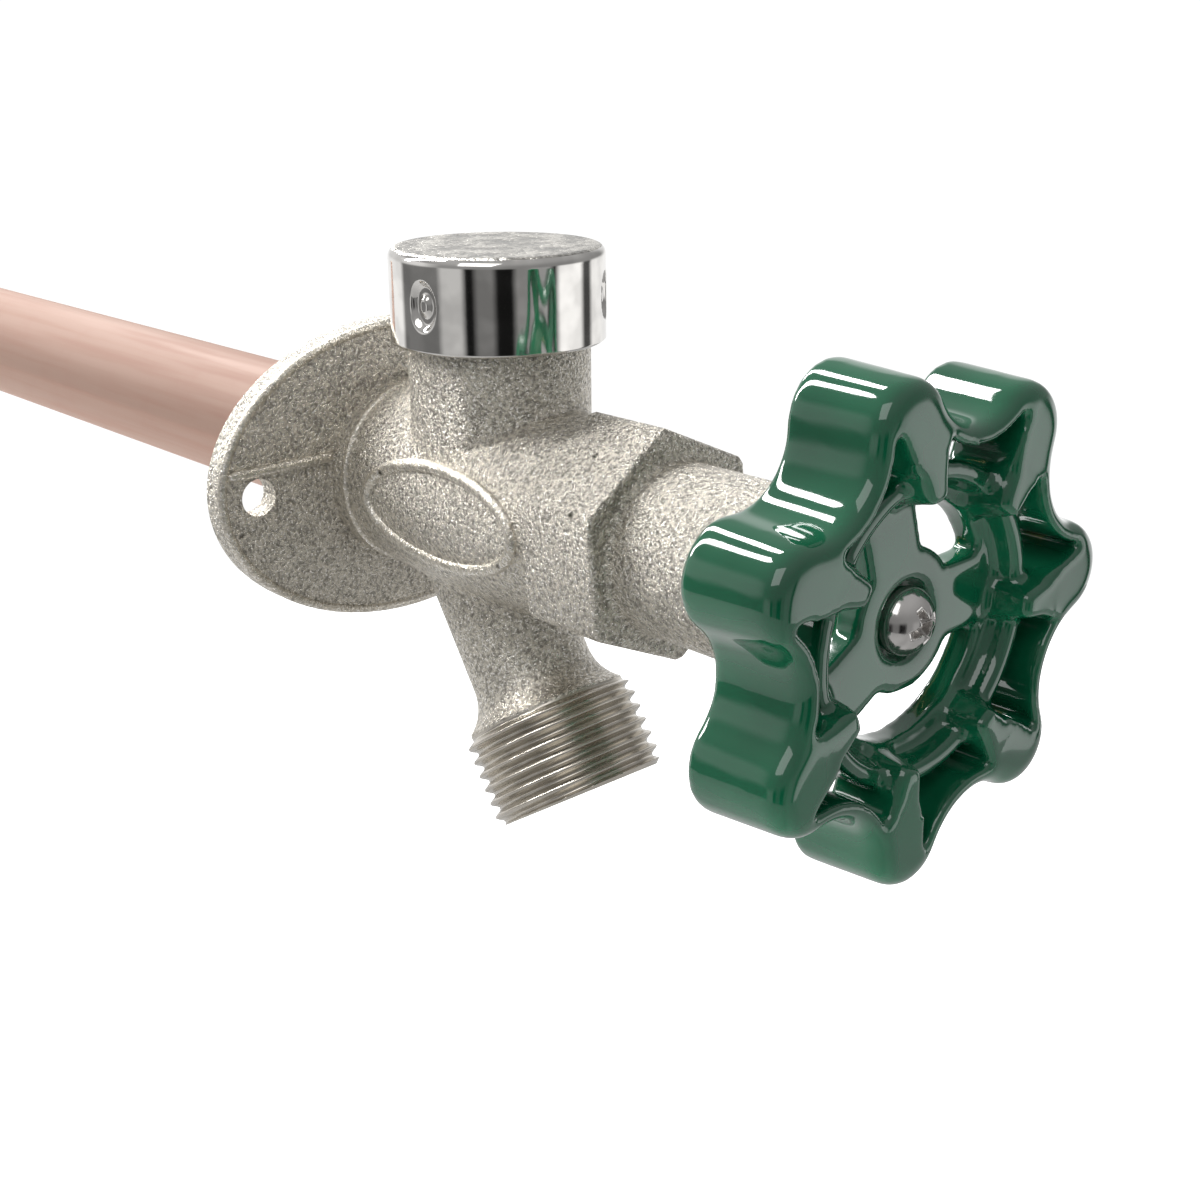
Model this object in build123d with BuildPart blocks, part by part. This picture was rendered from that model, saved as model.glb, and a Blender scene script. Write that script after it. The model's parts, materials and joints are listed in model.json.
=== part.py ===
from build123d import *
import os
import math

os.makedirs("parts", exist_ok=True)

# Frost free sillcock, in millimetres. The tube lies along Y and the handle faces -Y.
# The origin is on the tube's axis in the plane of the wall, the flange's back face.
# A station is a distance from that plane towards the handle, and a depth is one into the wall.

# Clearances
overrun = 1.0
running_clearance = 0.08
assembly_clearance = 0.05
free_clearance = 0.3

# Wall flange
flange_half_width = 34.2
flange_half_height = 23.9
flange_thickness = 3.5
flange_edge_radius = 1.0
screw_spacing = 54.8
screw_hole_radius = 2.9
parting_rib_height = 4.0
parting_rib_width = 1.1
parting_rib_proud = 0.7
shoulder_radius = 14.5
shoulder_station = 7.5

# Barrel
barrel_end_station = 50.4
barrel_back_radius = 13.8
barrel_middle_radius = 15.5
barrel_front_radius = 14.2
barrel_cavity_radius = 9.3
oval_centre_station = 30.6
oval_half_length = 17.4
oval_half_height = 7.6
oval_rim_width = 0.9
oval_rim_proud = 0.55

# Hexagon and neck
hex_across_flats = 29.7
hex_front_station = 64.5
hex_rotation = 36.0
hex_corner_trim = 0.35
hex_edge_radius = 0.8
neck_radius = 12.15
neck_end_station = 90.0
neck_edge_radius = 0.8
neck_root_radius = 1.2

# Breaker tower
tower_station = 28.2
tower_radius = 13.4
tower_top = 33.5
tower_bore_radius = 10.8
tower_shelf = 16.0
tower_port_radius = 6.5
tower_root_radius = 1.2

# Spout with its male hose end
spout_station = 22.9
spout_height = -10.0
spout_lean = 33.3
spout_neck_radius = 9.4
spout_neck_length = 20.0
spout_collar_length = 27.0
spout_length = 40.5
spout_root_depth = 6.0
spout_bore_radius = 6.6
hose_thread_radius = 13.49
hose_thread_root_radius = 12.35
hose_end_chamfer = 1.1
hose_mouth_radius = 9.4
hose_mouth_depth = 13.0
spout_root_radius = 3.0

# Copper tube
tube_radius = 11.11
tube_wall = 1.14
tube_socket_depth = 14.0
tube_end_depth = 185.0

# Inlet fitting
fitting_collar_length = 15.0
fitting_spigot_length = 15.0
fitting_bore_radius = 4.9
barb_length = 21.0
barb_land_radius = 6.3
barb_rib_radius = 6.95
barb_rib_length = 1.8
barb_rib_starts = (4.6, 11.2, 19.0)
collar_edge_chamfer = 0.5
seat_ring_radius = 6.2
seat_ring_height = 0.8
seat_washer_thickness = 3.2

# Moving stem
stem_travel = 4.0
rod_radius = 3.97
holder_radius = 8.4
holder_length = 9.0
holder_rim = 1.2
holder_socket_depth = 5.0
washer_screw_radius = 1.6
washer_screw_head_radius = 3.4
washer_screw_head_height = 1.2
guide_radius = 9.5
guide_length = 10.0
guide_hub_radius = 5.6
guide_fin_width = 2.4
guide_fin_count = 4
guide_depth = 110.0

# Drive screw
screw_bore_radius = 8.0
drive_length = 18.0
drive_stop_gap = 3.3
drive_socket_depth = 9.0
o_ring_radius = 0.9
o_ring_station = 69.5
shaft_radius = 4.76
square_across_flats = 7.0
square_station = 97.0
square_end_station = 100.8
pin_radius = 1.2
pin_station = 59.0

# Packing
nut_thread_radius = 9.0
nut_shank_length = 9.7
nut_across_flats = 19.0
nut_head_length = 5.0
nut_edge_chamfer = 0.6
packing_pocket_radius = 7.2
packing_pocket_depth = 5.8
packing_washer_thickness = 1.0

# Vacuum breaker
insert_height = 4.0
insert_lip_height = 0.6
insert_lip_width = 1.2
insert_port_radius = 5.2
float_radius = 8.6
float_thickness = 2.4
float_pin_radius = 2.1
float_pin_length = 8.6
float_skirt_radius = 4.6
float_skirt_length = 2.6
float_travel = 3.2
float_seal_thickness = 1.2
float_seal_hole_radius = 3.4
vent_guide_gap = 0.2
vent_guide_thickness = 2.6
vent_hole_radius = 1.4
vent_hole_circle = 7.2
vent_hole_count = 6

# Cap
cap_radius = 15.7
cap_wall = 1.15
cap_bottom = 23.85
cap_top = 37.4
cap_edge_radius = 1.4
dimple_radius = 3.0
dimple_height = 30.5
dimple_floor = 0.6
dimple_count = 3
dimple_first_angle = -171.0
gasket_thickness = 0.9

# Wheel handle
lobe_count = 7
lobe_first_angle = 3.6
lobe_centre_radius = 26.0
lobe_radius = 7.0
valley_radius = 25.4
handle_back_station = 96.0
handle_front_station = 110.0
handle_draft = 0.9
rim_wall = 2.4
rim_front_radius = 2.6
rim_back_radius = 0.9
ring_outer_radius = 20.0
ring_front_bore = 23.5
ring_back_bore = 15.0
finger_inner_radius = 18.0
finger_inner_lead = 0.5
finger_inner_lag = 13.5
finger_outer_radius = 30.0
finger_outer_lead = 6.5
finger_outer_lag = 12.0
web_front_station = 104.0
web_back_station = 100.0
hub_radius = 9.2
hub_sleeve_radius = 8.0
arm_width = 9.6
arm_lobes = (0, 2, 4)
head_recess_radius = 5.0
head_recess_depth = 1.6
handle_screw_radius = 2.4
handle_screw_length = 11.0
screw_head_radius = 4.25
screw_head_rim = 1.1
screw_head_dome = 2.7
lock_washer_radius = 4.1
lock_washer_thickness = 0.8

# Sizes worked out from the ones above
tube_bore_radius = tube_radius - tube_wall
fitting_spigot_radius = tube_bore_radius - assembly_clearance
seat_depth = tube_end_depth - fitting_spigot_length
washer_back_depth = seat_depth - seat_ring_height - free_clearance
holder_back_depth = washer_back_depth - holder_rim
holder_cup_depth = seat_washer_thickness - holder_rim
holder_floor = holder_length - holder_socket_depth - holder_cup_depth
washer_screw_length = seat_washer_thickness + holder_floor - assembly_clearance
holder_front_depth = holder_back_depth - holder_length
rod_back_depth = holder_front_depth + holder_socket_depth - free_clearance
nut_back_station = neck_end_station - nut_shank_length
drive_front_station = nut_back_station - stem_travel - drive_stop_gap
drive_back_station = drive_front_station - drive_length
rod_front_station = drive_back_station + drive_socket_depth
float_bottom = tower_shelf + insert_height + insert_lip_height + free_clearance
float_top = float_bottom + float_thickness
seal_top = float_top + float_seal_thickness
vent_guide_bottom = seal_top + float_travel + vent_guide_gap
vent_guide_top = vent_guide_bottom + vent_guide_thickness
recess_floor_station = web_front_station - head_recess_depth
head_back_station = recess_floor_station + lock_washer_thickness
spout_axis_direction = Vector(
    0, -math.sin(math.radians(spout_lean)), -math.cos(math.radians(spout_lean)))
spout_origin = Vector(0, -spout_station, spout_height)
spout_plane = Plane(origin=spout_origin, x_dir=(1, 0, 0), z_dir=spout_axis_direction)
spout_profile_plane = Plane(
    origin=spout_origin, x_dir=(1, 0, 0),
    z_dir=Vector(1, 0, 0).cross(spout_axis_direction))
spout_axis = Axis(spout_origin, spout_axis_direction)
lobe_pitch = math.radians(180 / lobe_count)


def turned(points, mode=Mode.ADD):
    """Turns a closed outline of (radius, station) points about the tube's axis."""
    with BuildSketch(Plane.XY) as outline:
        with BuildLine():
            Polyline([(radius, -station) for radius, station in points], close=True)
        make_face()
    revolve(outline.sketch, axis=Axis.Y, mode=mode)


def station_plane(station):
    """The plane square to the tube at a station, facing the handle."""
    return Plane.XZ.offset(station)


def height_plane(height):
    """The level plane of the breaker tower at a height, centred on the tower."""
    return Plane(origin=(0, -tower_station, height), x_dir=(1, 0, 0), z_dir=(0, 0, 1))


def tower_ring(outer_radius, inner_radius, bottom, top):
    """A plain ring on the tower's axis between two heights."""
    with BuildSketch(height_plane(bottom)) as ring:
        Circle(outer_radius)
        if inner_radius > 0:
            Circle(inner_radius, mode=Mode.SUBTRACT)
    extrude(ring.sketch, amount=top - bottom)


# Valve body: one casting with the wall flange, barrel, breaker tower, spout, hexagon and neck
with BuildPart() as valve_body:
    # Barrel, swelling in the middle
    with BuildSketch(Plane.XY):
        with BuildLine():
            back = (barrel_back_radius, -flange_thickness)
            middle = (barrel_middle_radius, -tower_station)
            front = (barrel_front_radius, -barrel_end_station)
            ThreePointArc(back, middle, front)
            Polyline(front, (0, -barrel_end_station), (0, -flange_thickness), back)
        make_face()
    revolve(axis=Axis.Y)
    # Breaker tower
    with BuildSketch(Plane(origin=(0, -tower_station, 0), x_dir=(1, 0, 0), z_dir=(0, 0, 1))):
        Circle(tower_radius)
    extrude(amount=tower_top)
    # Spout, flaring from its neck to the thread's root
    with BuildSketch(spout_profile_plane):
        with BuildLine():
            neck_foot = (spout_neck_radius, -spout_root_depth)
            neck_top = (spout_neck_radius, spout_neck_length)
            collar = (hose_thread_root_radius, spout_collar_length - hose_end_chamfer)
            Polyline((0, -spout_root_depth), neck_foot, neck_top)
            TangentArc(neck_top, collar, tangent=(0, 1))
            Polyline(
                collar,
                (hose_thread_root_radius, spout_collar_length - hose_end_chamfer / 2),
                (hose_thread_radius, spout_collar_length),
                (hose_thread_radius, spout_length - hose_end_chamfer),
                (hose_thread_radius - hose_end_chamfer, spout_length),
                (0, spout_length),
                (0, -spout_root_depth),
            )
        make_face()
    revolve(axis=spout_axis)
    # Blends where the tower and the spout grow out of the barrel
    joints = valve_body.edges().filter_by(GeomType.BSPLINE)
    fillet(joints.filter_by_position(Axis.Z, -spout_length, 0), radius=spout_root_radius)
    joints = valve_body.edges().filter_by(GeomType.BSPLINE)
    fillet(joints.filter_by_position(Axis.Z, 0, tower_top), radius=tower_root_radius)
    # Hexagon with trimmed corners
    with BuildPart(mode=Mode.PRIVATE) as hexagon:
        with BuildSketch(station_plane(barrel_end_station)):
            RegularPolygon(hex_across_flats / 2, 6, major_radius=False, rotation=hex_rotation)
        extrude(amount=hex_front_station - barrel_end_station)
        with BuildSketch(station_plane(barrel_end_station)):
            Circle(hex_across_flats / math.sqrt(3) - hex_corner_trim)
        extrude(amount=hex_front_station - barrel_end_station, mode=Mode.INTERSECT)
        fillet(hexagon.faces().sort_by(Axis.Y)[0].edges(), radius=hex_edge_radius)
    add(hexagon.part)
    # Round neck
    with BuildSketch(station_plane(hex_front_station)):
        Circle(neck_radius)
    extrude(amount=neck_end_station - hex_front_station)
    fillet(valve_body.faces().sort_by(Axis.Y)[0].edges(), radius=neck_edge_radius)
    hex_front_edges = valve_body.edges().filter_by_position(
        Axis.Y, -hex_front_station - neck_edge_radius, -hex_front_station + neck_edge_radius)
    fillet(hex_front_edges.sort_by(SortBy.LENGTH)[-1], radius=neck_root_radius)
    # Wall flange and the shoulder that carries the barrel
    with BuildPart(mode=Mode.PRIVATE) as flange:
        with BuildSketch(Plane.XZ):
            Ellipse(flange_half_width, flange_half_height)
        extrude(amount=flange_thickness)
        fillet(flange.faces().sort_by(Axis.Y)[0].edges(), radius=flange_edge_radius)
        with BuildSketch(station_plane(flange_thickness)):
            with Locations((0, parting_rib_height)):
                Rectangle(screw_spacing, parting_rib_width)
        extrude(amount=parting_rib_proud)
        turned((
            (0, 0),
            (shoulder_radius, 0),
            (shoulder_radius, shoulder_station - flange_edge_radius),
            (shoulder_radius - flange_edge_radius, shoulder_station),
            (0, shoulder_station),
        ))
    add(flange.part)
    # Raised oval rim on the barrel's side, round a bare field
    with BuildPart(mode=Mode.PRIVATE) as oval_rim:
        with BuildSketch(Plane.XY):
            with BuildLine():
                rim_back = (barrel_back_radius + oval_rim_proud, -flange_thickness)
                rim_middle = (barrel_middle_radius + oval_rim_proud, -tower_station)
                rim_front = (barrel_front_radius + oval_rim_proud, -barrel_end_station)
                ThreePointArc(rim_back, rim_middle, rim_front)
                Polyline(rim_front, (0, -barrel_end_station), (0, -flange_thickness), rim_back)
            make_face()
        revolve(axis=Axis.Y)
        with BuildSketch(Plane(origin=(-barrel_cavity_radius, -oval_centre_station, 0),
                               x_dir=(0, -1, 0), z_dir=(-1, 0, 0))):
            Ellipse(oval_half_length, oval_half_height)
            Ellipse(oval_half_length - oval_rim_width, oval_half_height - oval_rim_width,
                    mode=Mode.SUBTRACT)
        extrude(amount=barrel_middle_radius, mode=Mode.INTERSECT)
    add(oval_rim.part)
    # Socket for the tube, water chamber, bore of the drive screw and the nut's thread
    with BuildSketch(station_plane(-overrun)):
        Circle(tube_radius + assembly_clearance)
    extrude(amount=tube_socket_depth + overrun, mode=Mode.SUBTRACT)
    with BuildSketch(station_plane(0)):
        Circle(barrel_cavity_radius)
    extrude(amount=barrel_end_station, mode=Mode.SUBTRACT)
    with BuildSketch(station_plane(0)):
        Circle(screw_bore_radius)
    extrude(amount=neck_end_station + overrun, mode=Mode.SUBTRACT)
    with BuildSketch(station_plane(nut_back_station - free_clearance)):
        Circle(nut_thread_radius + assembly_clearance)
    extrude(amount=nut_shank_length + free_clearance + overrun, mode=Mode.SUBTRACT)
    # Breaker chamber over its port
    with BuildSketch(height_plane(0)):
        Circle(tower_port_radius)
    extrude(amount=tower_top, mode=Mode.SUBTRACT)
    with BuildSketch(height_plane(tower_shelf)):
        Circle(tower_bore_radius)
    extrude(amount=tower_top + overrun - tower_shelf, mode=Mode.SUBTRACT)
    # Spout waterway and its wider mouth
    with BuildSketch(spout_plane):
        Circle(spout_bore_radius)
    extrude(amount=spout_length + overrun, mode=Mode.SUBTRACT)
    with BuildSketch(spout_plane.offset(spout_length - hose_mouth_depth)):
        Circle(hose_mouth_radius)
    extrude(amount=hose_mouth_depth + overrun, mode=Mode.SUBTRACT)
    # Screw holes
    with BuildSketch(station_plane(-overrun)):
        with GridLocations(screw_spacing, 0, 2, 1):
            Circle(screw_hole_radius)
    extrude(amount=flange_thickness + parting_rib_proud + overrun * 2, mode=Mode.SUBTRACT)

# Copper supply tube
with BuildPart() as supply_tube:
    with BuildSketch(station_plane(-tube_end_depth)):
        Circle(tube_radius)
        Circle(tube_bore_radius, mode=Mode.SUBTRACT)
    extrude(amount=tube_end_depth + tube_socket_depth - assembly_clearance)

# Inlet fitting: valve seat, soldered collar and the barb for flexible pipe
with BuildPart() as inlet_fitting:
    collar_end = -(tube_end_depth + fitting_collar_length)
    profile = [
        (fitting_bore_radius, -seat_depth),
        (seat_ring_radius - seat_ring_height, -seat_depth),
        (seat_ring_radius, -seat_depth + seat_ring_height),
        (seat_ring_radius + seat_ring_height, -seat_depth),
        (fitting_spigot_radius, -seat_depth),
        (fitting_spigot_radius, -tube_end_depth),
        (tube_radius, -tube_end_depth),
        (tube_radius, collar_end + collar_edge_chamfer),
        (tube_radius - collar_edge_chamfer, collar_end),
        (barb_land_radius, collar_end),
    ]
    for rib_start in barb_rib_starts:
        profile.append((barb_land_radius, collar_end - rib_start))
        profile.append((barb_rib_radius, collar_end - rib_start))
        profile.append((barb_rib_radius, collar_end - rib_start - barb_rib_length / 2))
        profile.append((barb_land_radius, collar_end - rib_start - barb_rib_length))
    profile.append((barb_land_radius, collar_end - barb_length))
    profile.append((fitting_bore_radius, collar_end - barb_length))
    turned(profile)

# Packing nut, with its shank screwed into the neck
with BuildPart() as packing_nut:
    with BuildSketch(station_plane(neck_end_station)):
        RegularPolygon(nut_across_flats / 2, 6, major_radius=False)
    extrude(amount=nut_head_length)
    chamfer(packing_nut.faces().sort_by(Axis.Y)[0].edges(), length=nut_edge_chamfer)
    with BuildSketch(station_plane(nut_back_station)):
        Circle(nut_thread_radius)
    extrude(amount=nut_shank_length)
    with BuildSketch(station_plane(nut_back_station)):
        Circle(shaft_radius + running_clearance)
    extrude(amount=nut_shank_length + nut_head_length, mode=Mode.SUBTRACT)
    with BuildSketch(station_plane(nut_back_station)):
        Circle(packing_pocket_radius)
    extrude(amount=packing_pocket_depth, mode=Mode.SUBTRACT)

# Packing ring and the washer behind it, in the nut's pocket
with BuildPart() as packing_ring:
    with BuildSketch(station_plane(nut_back_station + packing_washer_thickness + assembly_clearance)):
        Circle(packing_pocket_radius - assembly_clearance)
        Circle(shaft_radius + running_clearance, mode=Mode.SUBTRACT)
    extrude(amount=packing_pocket_depth - packing_washer_thickness - assembly_clearance * 2)

with BuildPart() as packing_washer:
    with BuildSketch(station_plane(nut_back_station)):
        Circle(packing_pocket_radius - assembly_clearance)
        Circle(shaft_radius + running_clearance, mode=Mode.SUBTRACT)
    extrude(amount=packing_washer_thickness)

# Drive screw: threaded barrel, front shaft and the square that the handle sits on
with BuildPart() as drive_screw:
    screw_radius = screw_bore_radius - running_clearance
    turned((
        (0, drive_back_station),
        (screw_radius, drive_back_station),
        (screw_radius, o_ring_station - o_ring_radius),
        (screw_radius - o_ring_radius * 2, o_ring_station - o_ring_radius),
        (screw_radius - o_ring_radius * 2, o_ring_station + o_ring_radius),
        (screw_radius, o_ring_station + o_ring_radius),
        (screw_radius, drive_front_station),
        (shaft_radius, drive_front_station),
        (shaft_radius, square_station),
        (0, square_station),
    ))
    with BuildSketch(station_plane(square_station)):
        Rectangle(square_across_flats, square_across_flats)
        Circle(shaft_radius, mode=Mode.INTERSECT)
    extrude(amount=square_end_station - square_station)
    with BuildSketch(station_plane(drive_back_station)):
        Circle(rod_radius + assembly_clearance)
    extrude(amount=drive_socket_depth + assembly_clearance, mode=Mode.SUBTRACT)
    with BuildSketch(station_plane(square_end_station)):
        Circle(handle_screw_radius + assembly_clearance)
    extrude(amount=-handle_screw_length, mode=Mode.SUBTRACT)
    with BuildSketch(Plane.XY.offset(-screw_bore_radius)):
        with Locations((0, -pin_station)):
            Circle(pin_radius + assembly_clearance)
    extrude(amount=screw_bore_radius * 2, mode=Mode.SUBTRACT)

# O-ring in the drive screw's groove
with BuildPart() as stem_o_ring:
    with BuildSketch(Plane.XY):
        with Locations((screw_bore_radius - running_clearance - o_ring_radius, -o_ring_station)):
            Circle(o_ring_radius - assembly_clearance)
    revolve(axis=Axis.Y)

# Long stem rod, pinned into the drive screw
with BuildPart() as stem_rod:
    with BuildSketch(station_plane(-rod_back_depth)):
        Circle(rod_radius)
    extrude(amount=rod_back_depth + rod_front_station)
    with BuildSketch(Plane.XY.offset(-screw_bore_radius)):
        with Locations((0, -pin_station)):
            Circle(pin_radius + assembly_clearance)
    extrude(amount=screw_bore_radius * 2, mode=Mode.SUBTRACT)

with BuildPart() as stem_pin:
    with BuildSketch(Plane.XY.offset(-screw_bore_radius + free_clearance * 2)):
        with Locations((0, -pin_station)):
            Circle(pin_radius)
    extrude(amount=(screw_bore_radius - free_clearance * 2) * 2)

# Finned guide that centres the rod in the tube and lets the water by
with BuildPart() as stem_guide:
    with BuildSketch(station_plane(-guide_depth)):
        Circle(guide_hub_radius)
        with PolarLocations(guide_radius / 2, guide_fin_count):
            Rectangle(guide_radius, guide_fin_width)
        Circle(guide_radius, mode=Mode.INTERSECT)
        Circle(rod_radius + assembly_clearance, mode=Mode.SUBTRACT)
    extrude(amount=guide_length)

# Washer holder: a cup that slides with the rod and doesn't turn
with BuildPart() as washer_holder:
    with BuildSketch(station_plane(-holder_back_depth)):
        Circle(holder_radius)
    extrude(amount=holder_length)
    with BuildSketch(station_plane(-holder_back_depth)):
        Circle(holder_radius - holder_rim)
    extrude(amount=holder_cup_depth, mode=Mode.SUBTRACT)
    with BuildSketch(station_plane(-holder_front_depth)):
        Circle(rod_radius + running_clearance)
    extrude(amount=-holder_socket_depth, mode=Mode.SUBTRACT)
    with BuildSketch(station_plane(-holder_back_depth)):
        Circle(washer_screw_radius + assembly_clearance)
    extrude(amount=holder_length, mode=Mode.SUBTRACT)

with BuildPart() as seat_washer:
    cup_floor_depth = holder_back_depth - holder_cup_depth
    with BuildSketch(station_plane(-cup_floor_depth - seat_washer_thickness)):
        Circle(holder_radius - holder_rim - assembly_clearance)
        Circle(washer_screw_radius + assembly_clearance, mode=Mode.SUBTRACT)
    extrude(amount=seat_washer_thickness)

with BuildPart() as washer_screw:
    washer_face_depth = cup_floor_depth + seat_washer_thickness
    with BuildSketch(station_plane(-washer_face_depth)):
        Circle(washer_screw_radius)
    extrude(amount=washer_screw_length)
    with BuildSketch(station_plane(-washer_face_depth)):
        Circle(washer_screw_head_radius)
    extrude(amount=-washer_screw_head_height)
    fillet(washer_screw.faces().sort_by(Axis.Y)[-1].edges(), radius=washer_screw_head_height / 2)

# Vacuum breaker insert with the lip that the float rests over
with BuildPart() as breaker_seat:
    insert_top = tower_shelf + insert_height
    insert_radius = tower_bore_radius - assembly_clearance
    tower_ring(insert_radius, insert_port_radius, tower_shelf, insert_top)
    tower_ring(insert_port_radius + insert_lip_width, insert_port_radius,
               insert_top, insert_top + insert_lip_height)

with BuildPart() as breaker_float:
    tower_ring(float_radius, 0, float_bottom, float_top)
    tower_ring(float_pin_radius, 0, float_top, float_top + float_pin_length)
    tower_ring(float_skirt_radius, float_skirt_radius - cap_wall,
               float_bottom - float_skirt_length, float_bottom)

with BuildPart() as float_seal:
    tower_ring(float_radius, float_seal_hole_radius, float_top, seal_top)

with BuildPart() as vent_guide:
    tower_ring(insert_radius, float_pin_radius + running_clearance,
               vent_guide_bottom, vent_guide_top)
    with BuildSketch(height_plane(vent_guide_bottom)):
        with PolarLocations(vent_hole_circle, vent_hole_count):
            Circle(vent_hole_radius)
    extrude(amount=vent_guide_thickness, mode=Mode.SUBTRACT)

with BuildPart() as cap_gasket:
    tower_ring(tower_radius, tower_bore_radius, tower_top, tower_top + gasket_thickness)

# Vent cap, staked to the tower with round dimples
with BuildPart() as vent_cap:
    tower_ring(cap_radius, 0, cap_bottom, cap_top)
    fillet(vent_cap.faces().sort_by(Axis.Z)[-1].edges(), radius=cap_edge_radius)
    with BuildSketch(height_plane(cap_bottom)):
        Circle(cap_radius - cap_wall)
    extrude(amount=cap_top - cap_wall - cap_bottom, mode=Mode.SUBTRACT)
    for index in range(dimple_count):
        angle = math.radians(dimple_first_angle + 360 / dimple_count * index)
        outward = Vector(math.cos(angle), math.sin(angle), 0)
        stake_plane = Plane(
            origin=Vector(0, -tower_station, dimple_height)
            + outward * (tower_radius + assembly_clearance),
            x_dir=(0, 0, 1), z_dir=outward)
        with BuildSketch(stake_plane):
            Circle(dimple_radius)
        extrude(amount=cap_radius - cap_wall / 2 - tower_radius)
        with BuildSketch(stake_plane.offset(dimple_floor)):
            Circle(dimple_radius - dimple_floor)
        extrude(amount=cap_radius, mode=Mode.SUBTRACT)


def lobe_angle(index):
    """Direction of a lobe's centre, in radians from +X towards +Z."""
    return math.radians(lobe_first_angle) + lobe_pitch * 2 * index


def polar(radius, angle):
    """A point of the handle's plane from its radius and direction."""
    return Vector(radius * math.cos(angle), radius * math.sin(angle))


def lobed_outline(inset):
    """The handle's closed outline of tangent arcs, drawn in by an inset."""
    chord = lobe_centre_radius * math.cos(lobe_pitch)
    hollow = (
        (lobe_centre_radius ** 2 + valley_radius ** 2 - 2 * valley_radius * chord - lobe_radius ** 2)
        / (2 * (lobe_radius - valley_radius + chord)))
    share = (lobe_radius - inset) / (lobe_radius + hollow)
    for index in range(lobe_count):
        here = lobe_angle(index)
        centre = polar(lobe_centre_radius, here)
        before = polar(valley_radius + hollow, here - lobe_pitch)
        after = polar(valley_radius + hollow, here + lobe_pitch)
        following = polar(lobe_centre_radius, here + lobe_pitch * 2)
        start = centre + (before - centre) * share
        finish = centre + (after - centre) * share
        tip = polar(lobe_centre_radius + lobe_radius - inset, here)
        valley = polar(valley_radius - inset, here + lobe_pitch)
        ThreePointArc(start, tip, finish)
        ThreePointArc(finish, valley, following + (after - following) * share)


def finger_corners(index):
    """Corners of the finger that ties a lobe to the inner ring."""
    here = lobe_angle(index)
    return (
        polar(finger_inner_radius, here + math.radians(finger_inner_lead)),
        polar(finger_outer_radius, here + math.radians(finger_outer_lead)),
        polar(finger_outer_radius, here - math.radians(finger_outer_lag)),
        polar(finger_inner_radius, here - math.radians(finger_inner_lag)),
    )


# Wheel handle: lobed rim, inner ring, fingers between them, and a web with three arms
with BuildPart() as handle:
    with BuildSketch(station_plane(handle_back_station)):
        with BuildLine():
            lobed_outline(0)
        make_face()
    with BuildSketch(station_plane(handle_front_station)):
        with BuildLine():
            lobed_outline(handle_draft)
        make_face()
    loft(ruled=True)
    fillet(handle.faces().sort_by(Axis.Y)[0].edges(), radius=rim_front_radius)
    fillet(handle.faces().sort_by(Axis.Y)[-1].edges(), radius=rim_back_radius)
    # Pockets between the rim and the inner ring, leaving a finger behind each lobe
    with BuildSketch(station_plane(handle_back_station - overrun)):
        with BuildLine():
            lobed_outline(rim_wall + handle_draft)
        make_face()
        Circle(ring_outer_radius, mode=Mode.SUBTRACT)
        for index in range(lobe_count):
            with BuildLine():
                Polyline(finger_corners(index), close=True)
            make_face(mode=Mode.SUBTRACT)
    extrude(amount=handle_front_station - handle_back_station + overrun * 2, mode=Mode.SUBTRACT)
    # Hollow back inside the rim, and a dished front inside the ring
    with BuildSketch(station_plane(handle_back_station - overrun)):
        with BuildLine():
            lobed_outline(rim_wall + handle_draft)
        make_face()
    extrude(amount=web_back_station - handle_back_station + overrun, mode=Mode.SUBTRACT)
    turned((
        (0, web_front_station),
        (ring_back_bore, web_front_station),
        (ring_front_bore, handle_front_station + overrun / 2),
        (0, handle_front_station + overrun / 2),
    ), mode=Mode.SUBTRACT)
    # Windows through the web between its arms
    with BuildSketch(station_plane(web_back_station - overrun)):
        Circle(ring_back_bore)
        Circle(hub_radius, mode=Mode.SUBTRACT)
        for lobe in arm_lobes:
            with PolarLocations(ring_back_bore / 2, 1,
                                start_angle=lobe_first_angle + 360 / lobe_count * lobe):
                Rectangle(ring_back_bore * 1.5, arm_width, mode=Mode.SUBTRACT)
    extrude(amount=web_front_station - web_back_station + overrun * 2, mode=Mode.SUBTRACT)
    # Hub sleeve round the stem's square
    with BuildSketch(station_plane(handle_back_station + free_clearance)):
        Circle(hub_sleeve_radius)
    extrude(amount=web_front_station - handle_back_station - free_clearance)
    with BuildSketch(station_plane(handle_back_station)):
        Circle(shaft_radius + assembly_clearance)
    extrude(amount=square_station - handle_back_station, mode=Mode.SUBTRACT)
    with BuildSketch(station_plane(square_station)):
        Rectangle(square_across_flats + assembly_clearance * 2,
                  square_across_flats + assembly_clearance * 2)
        Circle(shaft_radius + assembly_clearance, mode=Mode.INTERSECT)
    extrude(amount=square_end_station - square_station + assembly_clearance, mode=Mode.SUBTRACT)
    with BuildSketch(station_plane(square_station)):
        Circle(handle_screw_radius + assembly_clearance)
    extrude(amount=web_front_station - square_station + overrun, mode=Mode.SUBTRACT)
    with BuildSketch(station_plane(recess_floor_station)):
        Circle(head_recess_radius)
    extrude(amount=head_recess_depth + overrun, mode=Mode.SUBTRACT)

with BuildPart() as lock_washer:
    with BuildSketch(station_plane(recess_floor_station)):
        Circle(lock_washer_radius)
        Circle(handle_screw_radius + assembly_clearance, mode=Mode.SUBTRACT)
    extrude(amount=lock_washer_thickness)

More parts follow.
